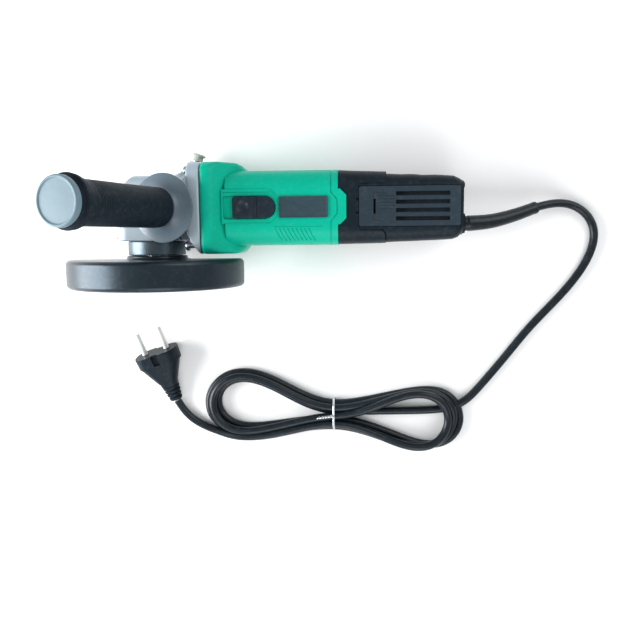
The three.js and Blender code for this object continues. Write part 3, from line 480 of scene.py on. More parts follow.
def finish(
    name,
    colour,
    roughness,
    metallic=0.0,
    grain=2500,
    depth=0.05,
    drift=0.12,
    worn=None,
    wear_reach=0.55,
    film=0.03,
    specular=0.5,
):
    """A surface: its colour, the grain of its skin, slow tone drift, worn edges and a dust film."""
    material = bpy.data.materials.new(name)
    material.use_nodes = True
    tree = material.node_tree
    shader = tree.nodes["Principled BSDF"]
    vector = tree.nodes.new("ShaderNodeTexCoord").outputs["Object"]
    skin = group_node(tree, MOULD_GRAIN, vector, Scale=grain)
    tone = group_node(tree, TONE_DRIFT, vector)
    base = linear(colour)
    dark = [part * (1 - drift) for part in base]
    light = [min(1, part * (1 + drift)) for part in base]
    blend = add_node(
        tree,
        "ShaderNodeMix",
        [("Factor", tone.outputs["Tone"])],
        data_type="RGBA",
    )
    blend.inputs[6].default_value = (*dark, 1)
    blend.inputs[7].default_value = (*light, 1)
    dusty = add_node(tree, "ShaderNodeMix", data_type="RGBA")
    amount = add_node(
        tree,
        "ShaderNodeMath",
        [(0, tone.outputs["Film"]), (1, film)],
        operation="MULTIPLY",
    )
    tree.links.new(amount.outputs[0], dusty.inputs["Factor"])
    tree.links.new(blend.outputs[2], dusty.inputs[6])
    dusty.inputs[7].default_value = (0.55, 0.56, 0.56, 1)
    colour_from = dusty
    if worn:
        wear = group_node(tree, HANDLING, vector, Reach=wear_reach)
        colour_from = add_node(tree, "ShaderNodeMix", data_type="RGBA")
        tree.links.new(wear.outputs["Mask"], colour_from.inputs["Factor"])
        tree.links.new(dusty.outputs[2], colour_from.inputs[6])
        colour_from.inputs[7].default_value = (*linear(worn), 1)
    tree.links.new(colour_from.outputs[2], shader.inputs["Base Color"])
    rough = add_node(
        tree,
        "ShaderNodeMapRange",
        [
            ("Value", skin.outputs["Tone"]),
            ("From Min", 0.3),
            ("From Max", 0.7),
            ("To Min", roughness - 0.05),
            ("To Max", roughness + 0.05),
        ],
    )
    tree.links.new(rough.outputs["Result"], shader.inputs["Roughness"])
    bump = add_node(
        tree,
        "ShaderNodeBump",
        [("Height", skin.outputs["Height"]), ("Distance", depth * MM), ("Strength", 1.0)],
    )
    tree.links.new(bump.outputs["Normal"], shader.inputs["Normal"])
    shader.inputs["Metallic"].default_value = metallic
    shader.inputs["Specular IOR Level"].default_value = specular
    return material


FINISHES = {
    "cast_aluminium": finish("cast aluminium", "a4b2bb", 0.48, 0.3, 1800, 0.07, 0.1, "dfe6ea", 0.53),
    "green_plastic": finish("green housing", "00a98c", 0.36, 0, 3200, 0.02, 0.05, specular=0.12),
    "black_plastic": finish("black housing", "111c24", 0.42, 0, 3200, 0.035, 0.12, specular=0.13),
    "vent_plastic": finish("vent panel", "25313a", 0.5, 0, 3000, 0.04, 0.08, specular=0.18),
    "hand_guard_plastic": finish("hand guard", "4d5c66", 0.38, 0, 3000, 0.03, 0.06, specular=0.5),
    "grip_rubber": finish("grip rubber", "0c1822", 0.6, 0, 2200, 0.05, 0.15, specular=0.14),
    "cap_plastic": finish("grey cap", "637983", 0.5, 0, 2600, 0.04, 0.05, specular=0.3),
    "label": finish("name plate film", "30424a", 0.42, 0, 3500, 0.01, 0.05, specular=0.2),
    "switch_plastic": finish("switch plastic", "1b2630", 0.4, 0, 3200, 0.03, 0.1, specular=0.2),
    "painted_steel": finish("guard paint", "212d35", 0.34, 0.6, 2600, 0.01, 0.08),
    "collar_steel": finish("clamp band", "58656d", 0.36, 0.8, 1500, 0.02, 0.06),
    "steel": finish("bright steel", "c3cacd", 0.28, 1, 900, 0.002, 0.05),
    "pin_metal": finish("nickel pins", "dfe1dc", 0.38, 0.45, 900, 0.002, 0.03),
    "dark_steel": finish("blackened steel", "3b4044", 0.38, 0.85, 2500, 0.02, 0.1),
    "copper": finish("enamelled copper", "9c4f26", 0.35, 0.9, 3000, 0.04, 0.15),
    "carbon": finish("carbon", "1d1e20", 0.8, 0, 3000, 0.05, 0.15),
    "brass": finish("brass", "c09a45", 0.3, 1, 2500, 0.01, 0.08),
    "white_plastic": finish("grey button plastic", "9da39b", 0.45, 0, 3000, 0.03, 0.08, specular=0.3),
    "cord_rubber": finish("cord sheath", "0d171e", 0.34, 0, 1800, 0.03, 0.12, film=0.03, specular=0.3),
}

for part in frame["record"]["subparts"]:
    node = frame["nodes"][part["node"]]
    node.data.materials.clear()
    node.data.materials.append(FINISHES[part["material_slot"]])

# ---------- cord ----------
CORD_D = 6.5
CORD_Z = FLOOR + CORD_D / 2 + 0.05
GLAND_Y = -12.6
PROTECTOR_ROUTE = [
    (227, GLAND_Y, 0),
    (235, GLAND_Y, 0),
    (244, GLAND_Y, -0.3),
    (262, -11, -4),
    (281, -6.4, -11),
    (299.4, -0.3, -18.4),
]
# From the end of the protector, down to the surface, round to the right end of the hank.
CORD_ROUTE = [
    (299.7, -0.2, -18.5),
    (312, 3, -23.5),
    (325, 4, -28.2),
    (337.5, 0.2, CORD_Z),
    (346.8, -8.6, CORD_Z),
    (351.2, -20, CORD_Z),
    (349, -33, CORD_Z),
    (342.7, -47, CORD_Z),
    (333.5, -60.5, CORD_Z),
    (322.5, -73.5, CORD_Z),
    (310.2, -86.6, CORD_Z),
    (298, -100.2, CORD_Z),
    (282, -121, CORD_Z),
    (266, -141, CORD_Z),
    (255.4, -153.6, CORD_Z),
    (247, -162.5, CORD_Z),
]
# From the left end of the hank up to the plug.
PLUG_CORD_ROUTE = [
    (56, -189.4, CORD_Z),
    (44, -188.7, CORD_Z),
    (33, -185.4, CORD_Z),
    (25, -182.3, CORD_Z),
    (16.5, -177.4, CORD_Z),
    (9.6, -170.6, CORD_Z + 0.2),
    (5.6, -163.4, CORD_Z + 0.8),
    (4.2, -160, CORD_Z + 1.2),
]
# At the tie, four strands lie on the surface and three in the grooves between them.
TIE_X = 138.6
LAYER = 5.8
LOW_STRANDS = [(-163.2, 0), (-169.2, 0), (-175.2, 0), (-181.2, 0)]
HIGH_STRANDS = [(-166.2, 1), (-172.2, 1), (-178.2, 1)]
# The lobes that the strands turn round in: centre x, centre y, half x, half y and layer.
LEFT_LOBES = [(60, -160.5, 23, 23, 0), (58.5, -163, 29, 27, 0), (60, -162, 26.5, 25, 1.6)]
RIGHT_LOBES = [(222, -174.3, 24.5, 24.5, 0), (217, -174.3, 24, 24, 1), (212, -174.3, 24, 24, 2)]


def ease(share):
    return share * share * (3 - 2 * share)


def fold(lobe, start, end, first):
    """One fold of the hank: from a strand at the tie, round a lobe and back to another strand."""
    centre_x, centre_y, half_x, half_y, layer = lobe
    outward = 1 if centre_x > TIE_X else -1
    points = []

    def run(strand, side, shares):
        for share in shares:
            x = TIE_X + share * (centre_x - TIE_X)
            y = strand[0] + ease(share) * (centre_y + side * half_y - strand[0])
            z = strand[1] + ease(share) * (layer - strand[1])
            points.append((x, y, CORD_Z + z * LAYER))

    run(start, first, (0.0, 0.22, 0.44, 0.66, 0.84))
    for step in range(9):
        angle = first * (math.pi / 2 - step * math.pi / 8)
        x = centre_x + outward * half_x * math.cos(angle)
        y = centre_y + half_y * math.sin(angle)
        points.append((x, y, CORD_Z + layer * LAYER))
    run(end, -first, (0.84, 0.66, 0.44, 0.22))
    return points


def hank_route():
    """Seven strands across the tie: three folds on the left and three on the right."""
    low, high = LOW_STRANDS, HIGH_STRANDS
    points = [(232, -167, CORD_Z), (208, -168.4, CORD_Z), (172, -169, CORD_Z)]
    points += fold(LEFT_LOBES[0], low[1], low[2], 1)
    points += fold(RIGHT_LOBES[0], low[2], low[0], -1)
    points += fold(LEFT_LOBES[1], low[0], low[3], 1)
    points += fold(RIGHT_LOBES[1], low[3], high[0], -1)
    points += fold(LEFT_LOBES[2], high[0], high[1], 1)
    points += fold(RIGHT_LOBES[2], high[1], high[2], 1)
    y, layer = high[2]
    points.append((TIE_X, y, CORD_Z + layer * LAYER))
    points += [(112, -182.5, CORD_Z + LAYER), (84, -188.2, CORD_Z + LAYER / 2), (69, -189.6, CORD_Z + 1)]
    return points


def smooth_line(points, step):
    """Evenly spaced points on a curve through the given ones (a Catmull-Rom spline)."""
    given = np.array(points, float)
    ends = np.vstack([2 * given[0] - given[1], given, 2 * given[-1] - given[-2]])
    line = []
    for a, b, c, d in zip(ends, ends[1:], ends[2:], ends[3:]):
        count = max(2, int(np.linalg.norm(c - b) / 1.0))
        for share in np.arange(count) / count:
            pull = -a + 3 * b - 3 * c + d
            bend = 2 * a - 5 * b + 4 * c - d
            line.append(0.5 * (2 * b + (c - a) * share + bend * share**2 + pull * share**3))
    line.append(given[-1])
    line = np.array(line)
    along = np.concatenate([[0], np.cumsum(np.linalg.norm(np.diff(line, axis=0), axis=1))])
    places = np.linspace(0, along[-1], int(along[-1] / step) + 1)
    return np.stack([np.interp(places, along, line[:, k]) for k in range(3)], axis=1)


# How the hank settles: points along the line this near each other don't push, and in each round a strand
# takes a share of each push, keeps a share of its plan, straightens a little and sinks by this many mm.
LINE_STEP = 4.0
OWN_NEIGHBOURS = 8
PILE_ROUNDS = 260
PUSH = 0.35
PLAN_HOLD = 0.15
STRAIGHTEN = 0.2
SINK = 0.06
LOOSENING = 12  # points over which the lead and the plug's end grow loose


def pile_up(line, loose):
    """Lets the strands of the hank push each other apart and sink on to the surface."""
    plan = line.copy()
    index = np.arange(len(line))
    apart = np.abs(index[:, None] - index[None, :]) > OWN_NEIGHBOURS
    for _ in range(PILE_ROUNDS):
        between = line[:, None, :] - line[None, :, :]
        distance = np.linalg.norm(between, axis=2) + 1e-6
        short = np.where(apart & (distance < CORD_D), CORD_D - distance, 0.0)
        push = (between / distance[:, :, None] * short[:, :, None]).sum(axis=1)
        middle = np.zeros_like(line)
        middle[1:-1] = (line[:-2] + line[2:]) / 2 - line[1:-1]
        hold = (plan - line) * np.array([PLAN_HOLD, PLAN_HOLD, 0])
        line = line + loose[:, None] * (PUSH * push + STRAIGHTEN * middle + hold)
        line[:, 2] -= loose * SINK
        line[:, 2] = np.maximum(line[:, 2], CORD_Z)
    return line


def even_out(line, spread=2.2):
    """Smooths a line along its length, so that no bend is sharper than a cord's."""
    reach = int(4 * spread)
    weights = np.exp(-np.arange(-reach, reach + 1) ** 2 / (2 * spread**2))
    before = 2 * line[0] - line[reach:0:-1]
    after = 2 * line[-1] - line[-2:-reach - 2:-1]
    longer = np.vstack([before, line, after])
    columns = [np.convolve(longer[:, k], weights / weights.sum(), "valid") for k in range(3)]
    return np.stack(columns, axis=1)


def cord_line():
    """The cord from the protector to the plug, with its hank piled on the surface."""
    line = smooth_line(CORD_ROUTE + hank_route() + PLUG_CORD_ROUTE, LINE_STEP)
    lead = smooth_line(CORD_ROUTE, LINE_STEP)
    tail = smooth_line(PLUG_CORD_ROUTE, LINE_STEP)
    index = np.arange(len(line))
    into = np.clip((index - len(lead) + 10) / LOOSENING, 0, 1)
    out_of = np.clip((len(line) - len(tail) - index + 2) / LOOSENING, 0, 1)
    line = even_out(pile_up(line, into * out_of))
    line[:, 2] = np.maximum(line[:, 2], CORD_Z)
    return line


def tube_along(name, line, radius, radii=None, sides=6):
    """A round cord along points, as a curve of one open spline."""
    at_rest()
    curve = bpy.data.curves.new(name, "CURVE")
    curve.dimensions = "3D"
    curve.bevel_depth = radius
    curve.bevel_resolution = sides
    curve.use_fill_caps = True
    spline = curve.splines.new("NURBS")
    spline.points.add(len(line) - 1)
    spline.use_endpoint_u = True
    spline.order_u = 4
    spline.resolution_u = 2
    for i, point in enumerate(line):
        spline.points[i].co = (*point, 1)
        if radii is not None:
            spline.points[i].radius = radii[i]
    piece = bpy.data.objects.new(name, curve)
    bpy.context.scene.collection.objects.link(piece)
    return piece


CORD_LINE = cord_line()
cord = tube_along("mains_cord", [world(point) for point in CORD_LINE], CORD_D / 2 * MM)
cord.data.materials.append(FINISHES["cord_rubber"])
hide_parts("cord", "cord_hank", "cord_plug_end")
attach(cord, "body")


def to_mesh(piece):
    """A closed mesh from a curve: its end caps are joined to its sides."""
    take(piece)
    bpy.ops.object.convert(target="MESH")
    piece = bpy.context.object
    edit(piece)
    bpy.ops.mesh.remove_doubles(threshold=0.001)
    bpy.ops.mesh.normals_make_consistent(inside=False)
    at_rest()
    return piece


def twist_tie():
    """Bare wire wound round the hank, its ends twisted together and laid to the left."""
    wire = 0.55
    near = CORD_LINE[np.abs(CORD_LINE[:, 0] - TIE_X) < 4.5]
    reach = CORD_D / 2 + wire
    angles = np.arange(0, 4 * math.pi + 0.01, math.pi / 18)
    centre = (near[:, 1:].min(axis=0) + near[:, 1:].max(axis=0)) / 2
    loop = []
    for turn, angle in enumerate(angles):
        direction = np.array([math.cos(angle), math.sin(angle)])
        support = (near[:, 1:] - centre) @ direction
        far = near[support.argmax(), 1:] + direction * reach
        x = TIE_X - 0.8 + 1.6 * turn / len(angles)
        loop.append((x, far[0], max(far[1], FLOOR + wire)))
    around = to_mesh(tube_along("twist_tie_wire", loop, wire, sides=3))
    start = np.array([TIE_X, centre[0] + 1, near[:, 2].max() + reach])
    for phase in (0, math.pi):
        ends = []
        for step in range(40):
            share = step / 39
            angle = phase + share * 7 * math.pi
            ends.append((
                start[0] - 17 * share,
                start[1] - 3 * share + 0.75 * math.cos(angle),
                start[2] + 0.4 - 2.6 * share * share + 0.75 * math.sin(angle),
            ))
        strand = to_mesh(tube_along("twist_tie_end", ends, wire, sides=3))
        take(around)
        strand.select_set(True)
        bpy.ops.object.join()
    return settle(around, "twist_tie_wire", "body", "steel", "twist_tie", angle=60)


tie = twist_tie()

# ---------- gear head ----------
SQUARE = 34
FLANGE_START = 33
SEAM = 42
HEAD_HALF = 26
HEAD_TOP = 25
BOX_JOINT = -13
BOX_BOTTOM = -24
NECK_BOTTOM = -35
NECK_R = 20.5
HANDLE_X = 27
HANDLE_LEAN = math.radians(18)
BOSS_FACE = 34.6
LOCK_FOOT = Vector((15.79, -4.9, -17))
LOCK_TOP = Vector((31.6, 43.2, -17))
LOCK_LEAN = LOCK_TOP - LOCK_FOOT
CASE_SCREWS = [(27.5, 27.5), (-27.5, 27.5), (-27.5, -27.5), (27.5, -27.5)]
BOX_SCREWS = [(-20.5, 20.5), (20.5, 20.5), (20.5, -20.5), (-20.5, -20.5)]


def on_handle(distance, side=1):
    """A point on the side handle's axis, or on the spare one's."""
    return (HANDLE_X - distance * math.sin(HANDLE_LEAN), 0, side * distance * math.cos(HANDLE_LEAN))


def on_lock(distance):
    """A point on the lock button's axis, from the top of its stem."""
    return LOCK_TOP + LOCK_LEAN.normalized() * distance


def gear_housing():
    head = block(-HEAD_HALF, HEAD_HALF, BOX_JOINT + GAP / 2, HEAD_TOP, -HEAD_HALF, HEAD_HALF)
    round_along(head, 1, 10)
    points = head.data.vertices
    edit(head, "EDGE", lambda edge: all(points[i].co.y > HEAD_TOP - 0.1 for i in edge.vertices))
    bpy.ops.mesh.bevel(offset=6, segments=5)
    at_rest()
    shoulder = drawn_out(
        [
            (20, 0, 25, 25.5),
            (26, 0, 27, 27.5),
            (31.5, 0, 32.2, 32.2),
            (FLANGE_START, 0, SQUARE, SQUARE),
            (SEAM - GAP / 2, 0, SQUARE, SQUARE),
        ],
        7,
    )
    slice_off(shoulder, (HEAD_HALF + 4, BOX_JOINT - 2, 0), (-1, -0.55, 0))
    slice_off(head, (-HEAD_HALF, 9.5, 0), (-12.5, 26, 0))
    boss = rod(11.5, on_handle(10), on_handle(BOSS_FACE))
    collar = rod(13.5, on_handle(10), on_handle(29.5))
    spare = rod(9.5, on_handle(10, -1), on_handle(31, -1))
    lock_boss = rod(6.2, on_lock(-18), on_lock(-5.2))
    fuse(head, shoulder, boss, collar, spare, lock_boss)
    cut(
        head,
        rod(24.2, (0, BOX_JOINT - 2, 0), (0, 5, 0)),
        rod(15.5, (0, 4, 0), (0, 12, 0)),
        rod(7, (0, 11, 0), (0, 14.4, 0)),
        rod(10, (0, 0, 0), (26, 0, 0)),
        rod(13.3, (24.7, 0, 0), (35, 0, 0)),
        rod(27, (34, 0, 0), (SEAM + 2, 0, 0)),
        rod(4.3, on_handle(22), on_handle(BOSS_FACE + 2)),
        rod(4.3, on_handle(20, -1), on_handle(33, -1)),
        rod(4.5, on_lock(-13), on_lock(2)),
        *[rod(4.6, (15, y, z), (FLANGE_START, y, z)) for y, z in CASE_SCREWS],
    )
    cast(head, 0.75, 5)
    return settle(head, "gear_head_casting", "body", "cast_aluminium", "gear_housing", angle=None)


def bearing_box():
    plate = block(-HEAD_HALF, HEAD_HALF, BOX_BOTTOM, BOX_JOINT - GAP / 2, -HEAD_HALF, HEAD_HALF)
    round_along(plate, 1, 10)
    slice_off(plate, (-HEAD_HALF, BOX_BOTTOM + 3, 0), (-1, -0.8, 0))
    neck = rod(NECK_R, (0, NECK_BOTTOM, 0), (0, BOX_BOTTOM + 2, 0), 96)
    fuse(plate, neck)
    cut(
        plate,
        rod(16.3, (0, BOX_BOTTOM - 0.5, 0), (0, BOX_JOINT + 2, 0)),
        rod(9.2, (0, NECK_BOTTOM - 2, 0), (0, BOX_BOTTOM + 2, 0)),
        *[rod(4, (x, BOX_BOTTOM - 2, z), (x, BOX_BOTTOM + 3.2, z)) for x, z in BOX_SCREWS],
    )
    cast(plate, 0.65, 4)
    return settle(plate, "bearing_box_casting", "body", "cast_aluminium", "bearing_box", angle=None)


def pan_head_screw(shank, length, head, height):
    """A cross-recess screw that points down, its head's underside at the origin."""
    screw = turned(
        [
            (0, -length),
            (shank, -length),
            (shank, 0),
            (head, 0),
            (head, height * 0.4),
            (head * 0.9, height * 0.72),
            (head * 0.6, height * 0.95),
            (0, height),
        ],
        32,
    )
    wide, deep = head * 0.55, height * 0.35
    for a, b in ((wide, 0.5), (0.5, wide)):
        cut(screw, block(-a, a, deep, height + 1, -b, b))
    return soften(screw, 0.12, 1, 40)


def add_screws():
    case_screw = pan_head_screw(2, 17, 3.9, 3)
    box_screw = pan_head_screw(1.8, 16.5, 3.4, 2.4)
    for i, (y, z) in enumerate(CASE_SCREWS, 1):
        screw = moved(copy_of(case_screw), (FLANGE_START - GAP, y, z), (0, 0, 90))
        settle(screw, f"flange_screw_{i}", "body", "steel", f"housing_screw_{i}")
    for i, (x, z) in enumerate(BOX_SCREWS, 1):
        screw = moved(copy_of(box_screw), (x, BOX_BOTTOM + 2.9, z), (180, 0, 0))
        settle(screw, f"cover_screw_{i}", "body", "steel", f"bearing_box_screw_{i}")
    for spare in (case_screw, box_screw):
        bpy.data.objects.remove(spare)


def lock_button():
    length = LOCK_LEAN.length
    button = turned(
        [
            (0, -length),
            (1.4, -length),
            (1.9, -length + 0.6),
            (1.9, -4),
            (3.9, -4),
            (3.9, -0.2),
            (5.0, -0.2),
            (5.2, 0.1),
            (5.2, 0.8),
            (4.9, 1.3),
            (4.2, 1.6),
            (3.0, 1.5),
            (1.6, 1.3),
            (0, 1.2),
        ],
        64,
    )
    button.rotation_euler = LOCK_LEAN.to_track_quat("Y", "Z").to_euler()
    button.location = LOCK_TOP
    apply_place(button)
    return settle(button, "spindle_lock_button", "lock", "white_plastic", "lock_button")


# ---------- wheel side ----------
GUARD_R = 69
GUARD_TOP = -38
GUARD_BOTTOM = -60
GUARD_WALL = 1.6
WHEEL_SEAT = -45.4
THREAD_R = 6.9


def arc(centre, radius, start, end, steps):
    """Points on part of a circle, in degrees."""
    angles = [math.radians(start + (end - start) * i / steps) for i in range(steps + 1)]
    return [(centre[0] + radius * math.cos(a), centre[1] + radius * math.sin(a)) for a in angles]


def guard():
    low, high, wall = GUARD_BOTTOM, GUARD_TOP, GUARD_WALL
    hub = NECK_R + 0.5
    profile = [(hub, NECK_BOTTOM - GAP), (22.4, NECK_BOTTOM - GAP)]
    profile += arc((22.4, NECK_BOTTOM - 1.3), 1, 90, 0, 4)
    profile += arc((25, high + 1.6), 1.6, 180, 270, 5)
    profile += arc((GUARD_R - 3.4, high - 3.4), 3.4, 90, 0, 7)
    profile += arc((GUARD_R - 4, low + 4), 4, 0, -90, 7)
    profile += [(GUARD_R - 6.2, low)]
    profile += arc((GUARD_R - 6.2, low + 0.7), 0.7, 270, 90, 5)
    profile += arc((GUARD_R - 4.4, low + 4.2), 2.8, 270, 360, 5)
    profile += arc((GUARD_R - 4.4, high - 4.4), 2.8, 0, 90, 5)
    profile += [(hub, high - wall), (hub, NECK_BOTTOM - GAP)]
    shell = turned(profile, 160)
    missing = block(-80, 80, -70, -30, -80, 0)
    cut(missing, rod(26, (0, -71, 0), (0, -29, 0), 96))
    cut(shell, missing)
    soften(shell, 0.4, 2, 50)
    return settle(shell, "wheel_guard", "guard_set", "painted_steel", "guard", angle=40)


def guard_band():
    top, bottom = BOX_BOTTOM - GAP, NECK_BOTTOM + GAP
    profile = [(NECK_R + GAP, bottom)]
    profile += arc((21.6, bottom + 0.6), 0.6, -90, 0, 3)
    profile += arc((21.6, top - 0.6), 0.6, 0, 90, 3)
    profile += [(NECK_R + GAP, top), (NECK_R + GAP, bottom)]
    band = turned(profile, 128)
    lugs = block(-6, 6, NECK_BOTTOM + 1.5, BOX_BOTTOM - 1.5, -31, -21.2)
    round_along(lugs, 0, 3)
    fuse(band, lugs)
    middle = (NECK_BOTTOM + BOX_BOTTOM) / 2
    cut(
        band,
        block(-1.6, 1.6, NECK_BOTTOM - 1, BOX_BOTTOM + 1, -32, -18),
        rod(2.3, (-8, middle, -26.8), (8, middle, -26.8), 32),
    )
    soften(band, 0.3, 2, 50)
    settle(band, "guard_clamp_band", "guard_set", "painted_steel", "guard_band", look="collar_steel")
    screw = pan_head_screw(2, 14.5, 3.6, 2.6)
    moved(screw, (6 + GAP, middle, -26.8), (0, 0, -90))
    settle(screw, "clamp_band_screw", "guard_set", "steel", "guard_clamp_screw")


def spindle_fittings():
    thread = [(0, -58), (THREAD_R - 1, -58)]
    rows = 8
    for i in range(rows):
        low = -57 + i * 1.9
        thread += [(THREAD_R - 0.15, low), (THREAD_R - 0.15, low + 0.5), (THREAD_R - 0.9, low + 1.1)]
    thread += [
        (THREAD_R, WHEEL_SEAT + 4.6),
        (THREAD_R, WHEEL_SEAT + 5.3),
        (8.5, WHEEL_SEAT + 5.3),
        (8.5, BOX_BOTTOM - 0.6),
        (6, BOX_BOTTOM - 0.6),
        (6, -1),
        (4.7, -1),
        (4.7, 19.6),
        (4.3, 20),
        (0, 20),
    ]
    settle(turned(thread, 64), "threaded_spindle", "spindle_set", "steel", "spindle")
    seat = [(THREAD_R + GAP, WHEEL_SEAT - 2), (10.8, WHEEL_SEAT - 2), (11.1, WHEEL_SEAT - 1.7)]
    seat += [(11.1, WHEEL_SEAT), (20, WHEEL_SEAT), (20.4, WHEEL_SEAT + 0.4), (20.4, WHEEL_SEAT + 3.2)]
    seat += [(16, WHEEL_SEAT + 5), (THREAD_R + GAP, WHEEL_SEAT + 5), (THREAD_R + GAP, WHEEL_SEAT - 2)]
    settle(turned(seat, 96), "wheel_flange", "spindle_set", "dark_steel", "inner_flange")
    top = WHEEL_SEAT - 3.6
    ring = [(THREAD_R + GAP, top), (THREAD_R + GAP, top - 6), (19.2, top - 6), (20, top - 5.2)]
    ring += [(20, top - 0.5), (19.5, top), (THREAD_R + GAP, top)]
    nut = turned(ring, 96)
    holes = []
    for i in range(4):
        angle = math.radians(45 + 90 * i)
        x, z = 15 * math.cos(angle), 15 * math.sin(angle)
        holes.append(rod(2.6, (x, top - 8, z), (x, top - 2, z), 32))
    cut(nut, *holes)
    soften(nut, 0.25, 1, 50)
    settle(nut, "wheel_nut", "spindle_set", "dark_steel", "flange_nut")


# ---------- side handle ----------
DISC_RIM = 36.3
DISC_R = 25.6
GRIP_START = 45
GRIP_R = 14.6
GRIP_END = 140.8
HANDLE_END = 146.1
CAP_R = 15.6


def on_handle_axis(piece):
    """Turns a piece spun about Y to stand on the handle's axis."""
    return moved(moved(piece, turn=(90, 0, 0)), (HANDLE_X, 0, 0), (0, -math.degrees(HANDLE_LEAN), 0))


def side_handle():
    disc = [(4.3, BOSS_FACE + GAP), (12, BOSS_FACE + GAP), (DISC_R - 1, DISC_RIM + 0.3)]
    disc += arc((DISC_R - 1, DISC_RIM + 1.3), 1, -60, 60, 6)
    disc += [(DISC_R - 1.6, DISC_RIM + 2.4), (20.5, 39.9), (17.2, 41.9)]
    disc += [(15.4, 43.6), (GRIP_R + 0.2, GRIP_START - GAP), (4.3, GRIP_START - GAP)]
    disc += [(4.3, BOSS_FACE + GAP)]
    piece = on_handle_axis(turned(disc, 128))
    settle(piece, "handle_hand_guard", "body", "black_plastic", "handle_disc", look="hand_guard_plastic")

    grip = [(GRIP_R - 0.9, GRIP_START)]
    grip += arc((GRIP_R - 1.0, GRIP_START + 1.0), 1.0, -60, 0, 4)
    grip += [(GRIP_R, 60), (GRIP_R - 0.1, 82), (GRIP_R, 108)]
    for i in range(5):
        low = 113 + i * 2.4
        grip += [(GRIP_R, low), (GRIP_R - 0.2, low + 0.45), (GRIP_R + 0.02, low + 0.9)]
    grip += [(GRIP_R + 0.15, 125), (GRIP_R + 0.6, 128), (GRIP_R + 1.5, 131.4), (GRIP_R + 2.4, 134)]
    grip += arc((GRIP_R + 0.9, 136.6), 2, 20, 75, 6)
    grip += [(GRIP_R + 0.4, 139.4), (CAP_R - 1.6, GRIP_END), (0, GRIP_END), (0, 62), (4.3, 62)]
    grip += [(4.3, GRIP_START), (GRIP_R - 0.9, GRIP_START)]
    piece = on_handle_axis(turned(grip, 128))
    settle(piece, "handle_grip_sleeve", "body", "grip_rubber", "handle_grip")

    cap = [(0, GRIP_END + GAP), (CAP_R - 1.4, GRIP_END + GAP), (CAP_R - 0.6, GRIP_END + 0.5)]
    cap += [(CAP_R, GRIP_END + 1.6)]
    cap += arc((CAP_R - 1.3, HANDLE_END - 1.4), 1.4, 0, 100, 8)
    cap += [(CAP_R - 2.0, HANDLE_END - 0.35), (CAP_R - 2.3, HANDLE_END - 0.75)]
    cap += [(CAP_R - 3.2, HANDLE_END - 0.85), (CAP_R - 7, HANDLE_END - 0.6), (0, HANDLE_END - 0.45)]
    piece = on_handle_axis(turned(cap, 128))
    settle(piece, "handle_cap", "body", "cap_plastic", "handle_end_cap")


# ---------- motor housing ----------
SQUARE_END = 68.5
BARREL_START = 74.5
BARREL = 28
BARREL_CORNER = 15
CASING_SEAM = 144
SLIDER_START = 66
SLIDER_END = 97.4
SLIDER_HALF = 7.8
SWITCH_TRAVEL = 6.5
RECESS_HALF = 8.6
RECESS_FLOOR = 26.7


def bar(start, end, width, side, low, high):
    """A straight bar on the top (side 1) or bottom face, between two (x, y) points."""
    start, end = Vector((*start, 0)), Vector((*end, 0))
    along = end - start
    z0, z1 = sorted((side * low, side * high))
    piece = block(-along.length / 2, along.length / 2, -width / 2, width / 2, z0, z1)
    angle = math.degrees(math.atan2(along.y, along.x))
    return moved(piece, (start + end) / 2, (0, 0, angle))


def seam_cutter(x, step_x, wide=10.8, narrow=5.2, width=0.8, depth=0.5):
    """The seam round the barrel: it steps towards the tail on the top and bottom faces."""
    ring = block(x - width / 2, x + width / 2, -BARREL - 2, BARREL + 2, -BARREL - 2, BARREL + 2)
    core = block(x - 2, x + 2, -BARREL + depth, BARREL - depth, -BARREL + depth, BARREL - depth)
    round_along(core, 0, BARREL_CORNER - depth, 12)
    cut(ring, core)
    tools = [ring]
    for side in (1, -1):
        low, high = BARREL - depth, BARREL + 3
        z0, z1 = sorted((side * 15, side * 40))
        cut(ring, block(x - 3, x + 3, -wide, wide, z0, z1))
        for y in (1, -1):
            tools.append(bar((x, y * wide), (step_x, y * narrow), width, side, low, high))
        tools.append(bar((step_x, -narrow), (step_x, narrow), width, side, low, high))
    return tools


def on_corner(x, angle, side):
    """A point on the barrel's lower rounded corner, by the angle from the flat face."""
    turn = math.radians(angle)
    flat = BARREL - BARREL_CORNER
    y = -flat - BARREL_CORNER * math.sin(turn)
    return Vector((x, y, side * (flat + BARREL_CORNER * math.cos(turn))))


def corner_line(start, end, side, radius=0.45):
    """Short bars along the rounded corner between two (x, angle) places."""
    steps = max(1, round(abs(end[1] - start[1]) / 10))
    shares = [i / steps for i in range(steps + 1)]
    places = [
        on_corner(start[0] + share * (end[0] - start[0]), start[1] + share * (end[1] - start[1]), side)
        for share in shares
    ]
    bars = []
    for a, b in zip(places, places[1:]):
        along = (b - a).normalized() * 0.15
        bars.append(rod(radius, a - along, b + along, 10))
    return bars


def grip_rib(x, side):
    """One slanting rib of the grip area under the name plate."""
    return corner_line((x - 2.6, 9), (x + 2.2, 49), side, radius=0.4)


def joined(pieces):
    """Several pieces made one object; they may overlap."""
    take(pieces[0])
    for piece in pieces[1:]:
        piece.select_set(True)
    bpy.ops.object.join()
    return bpy.context.object


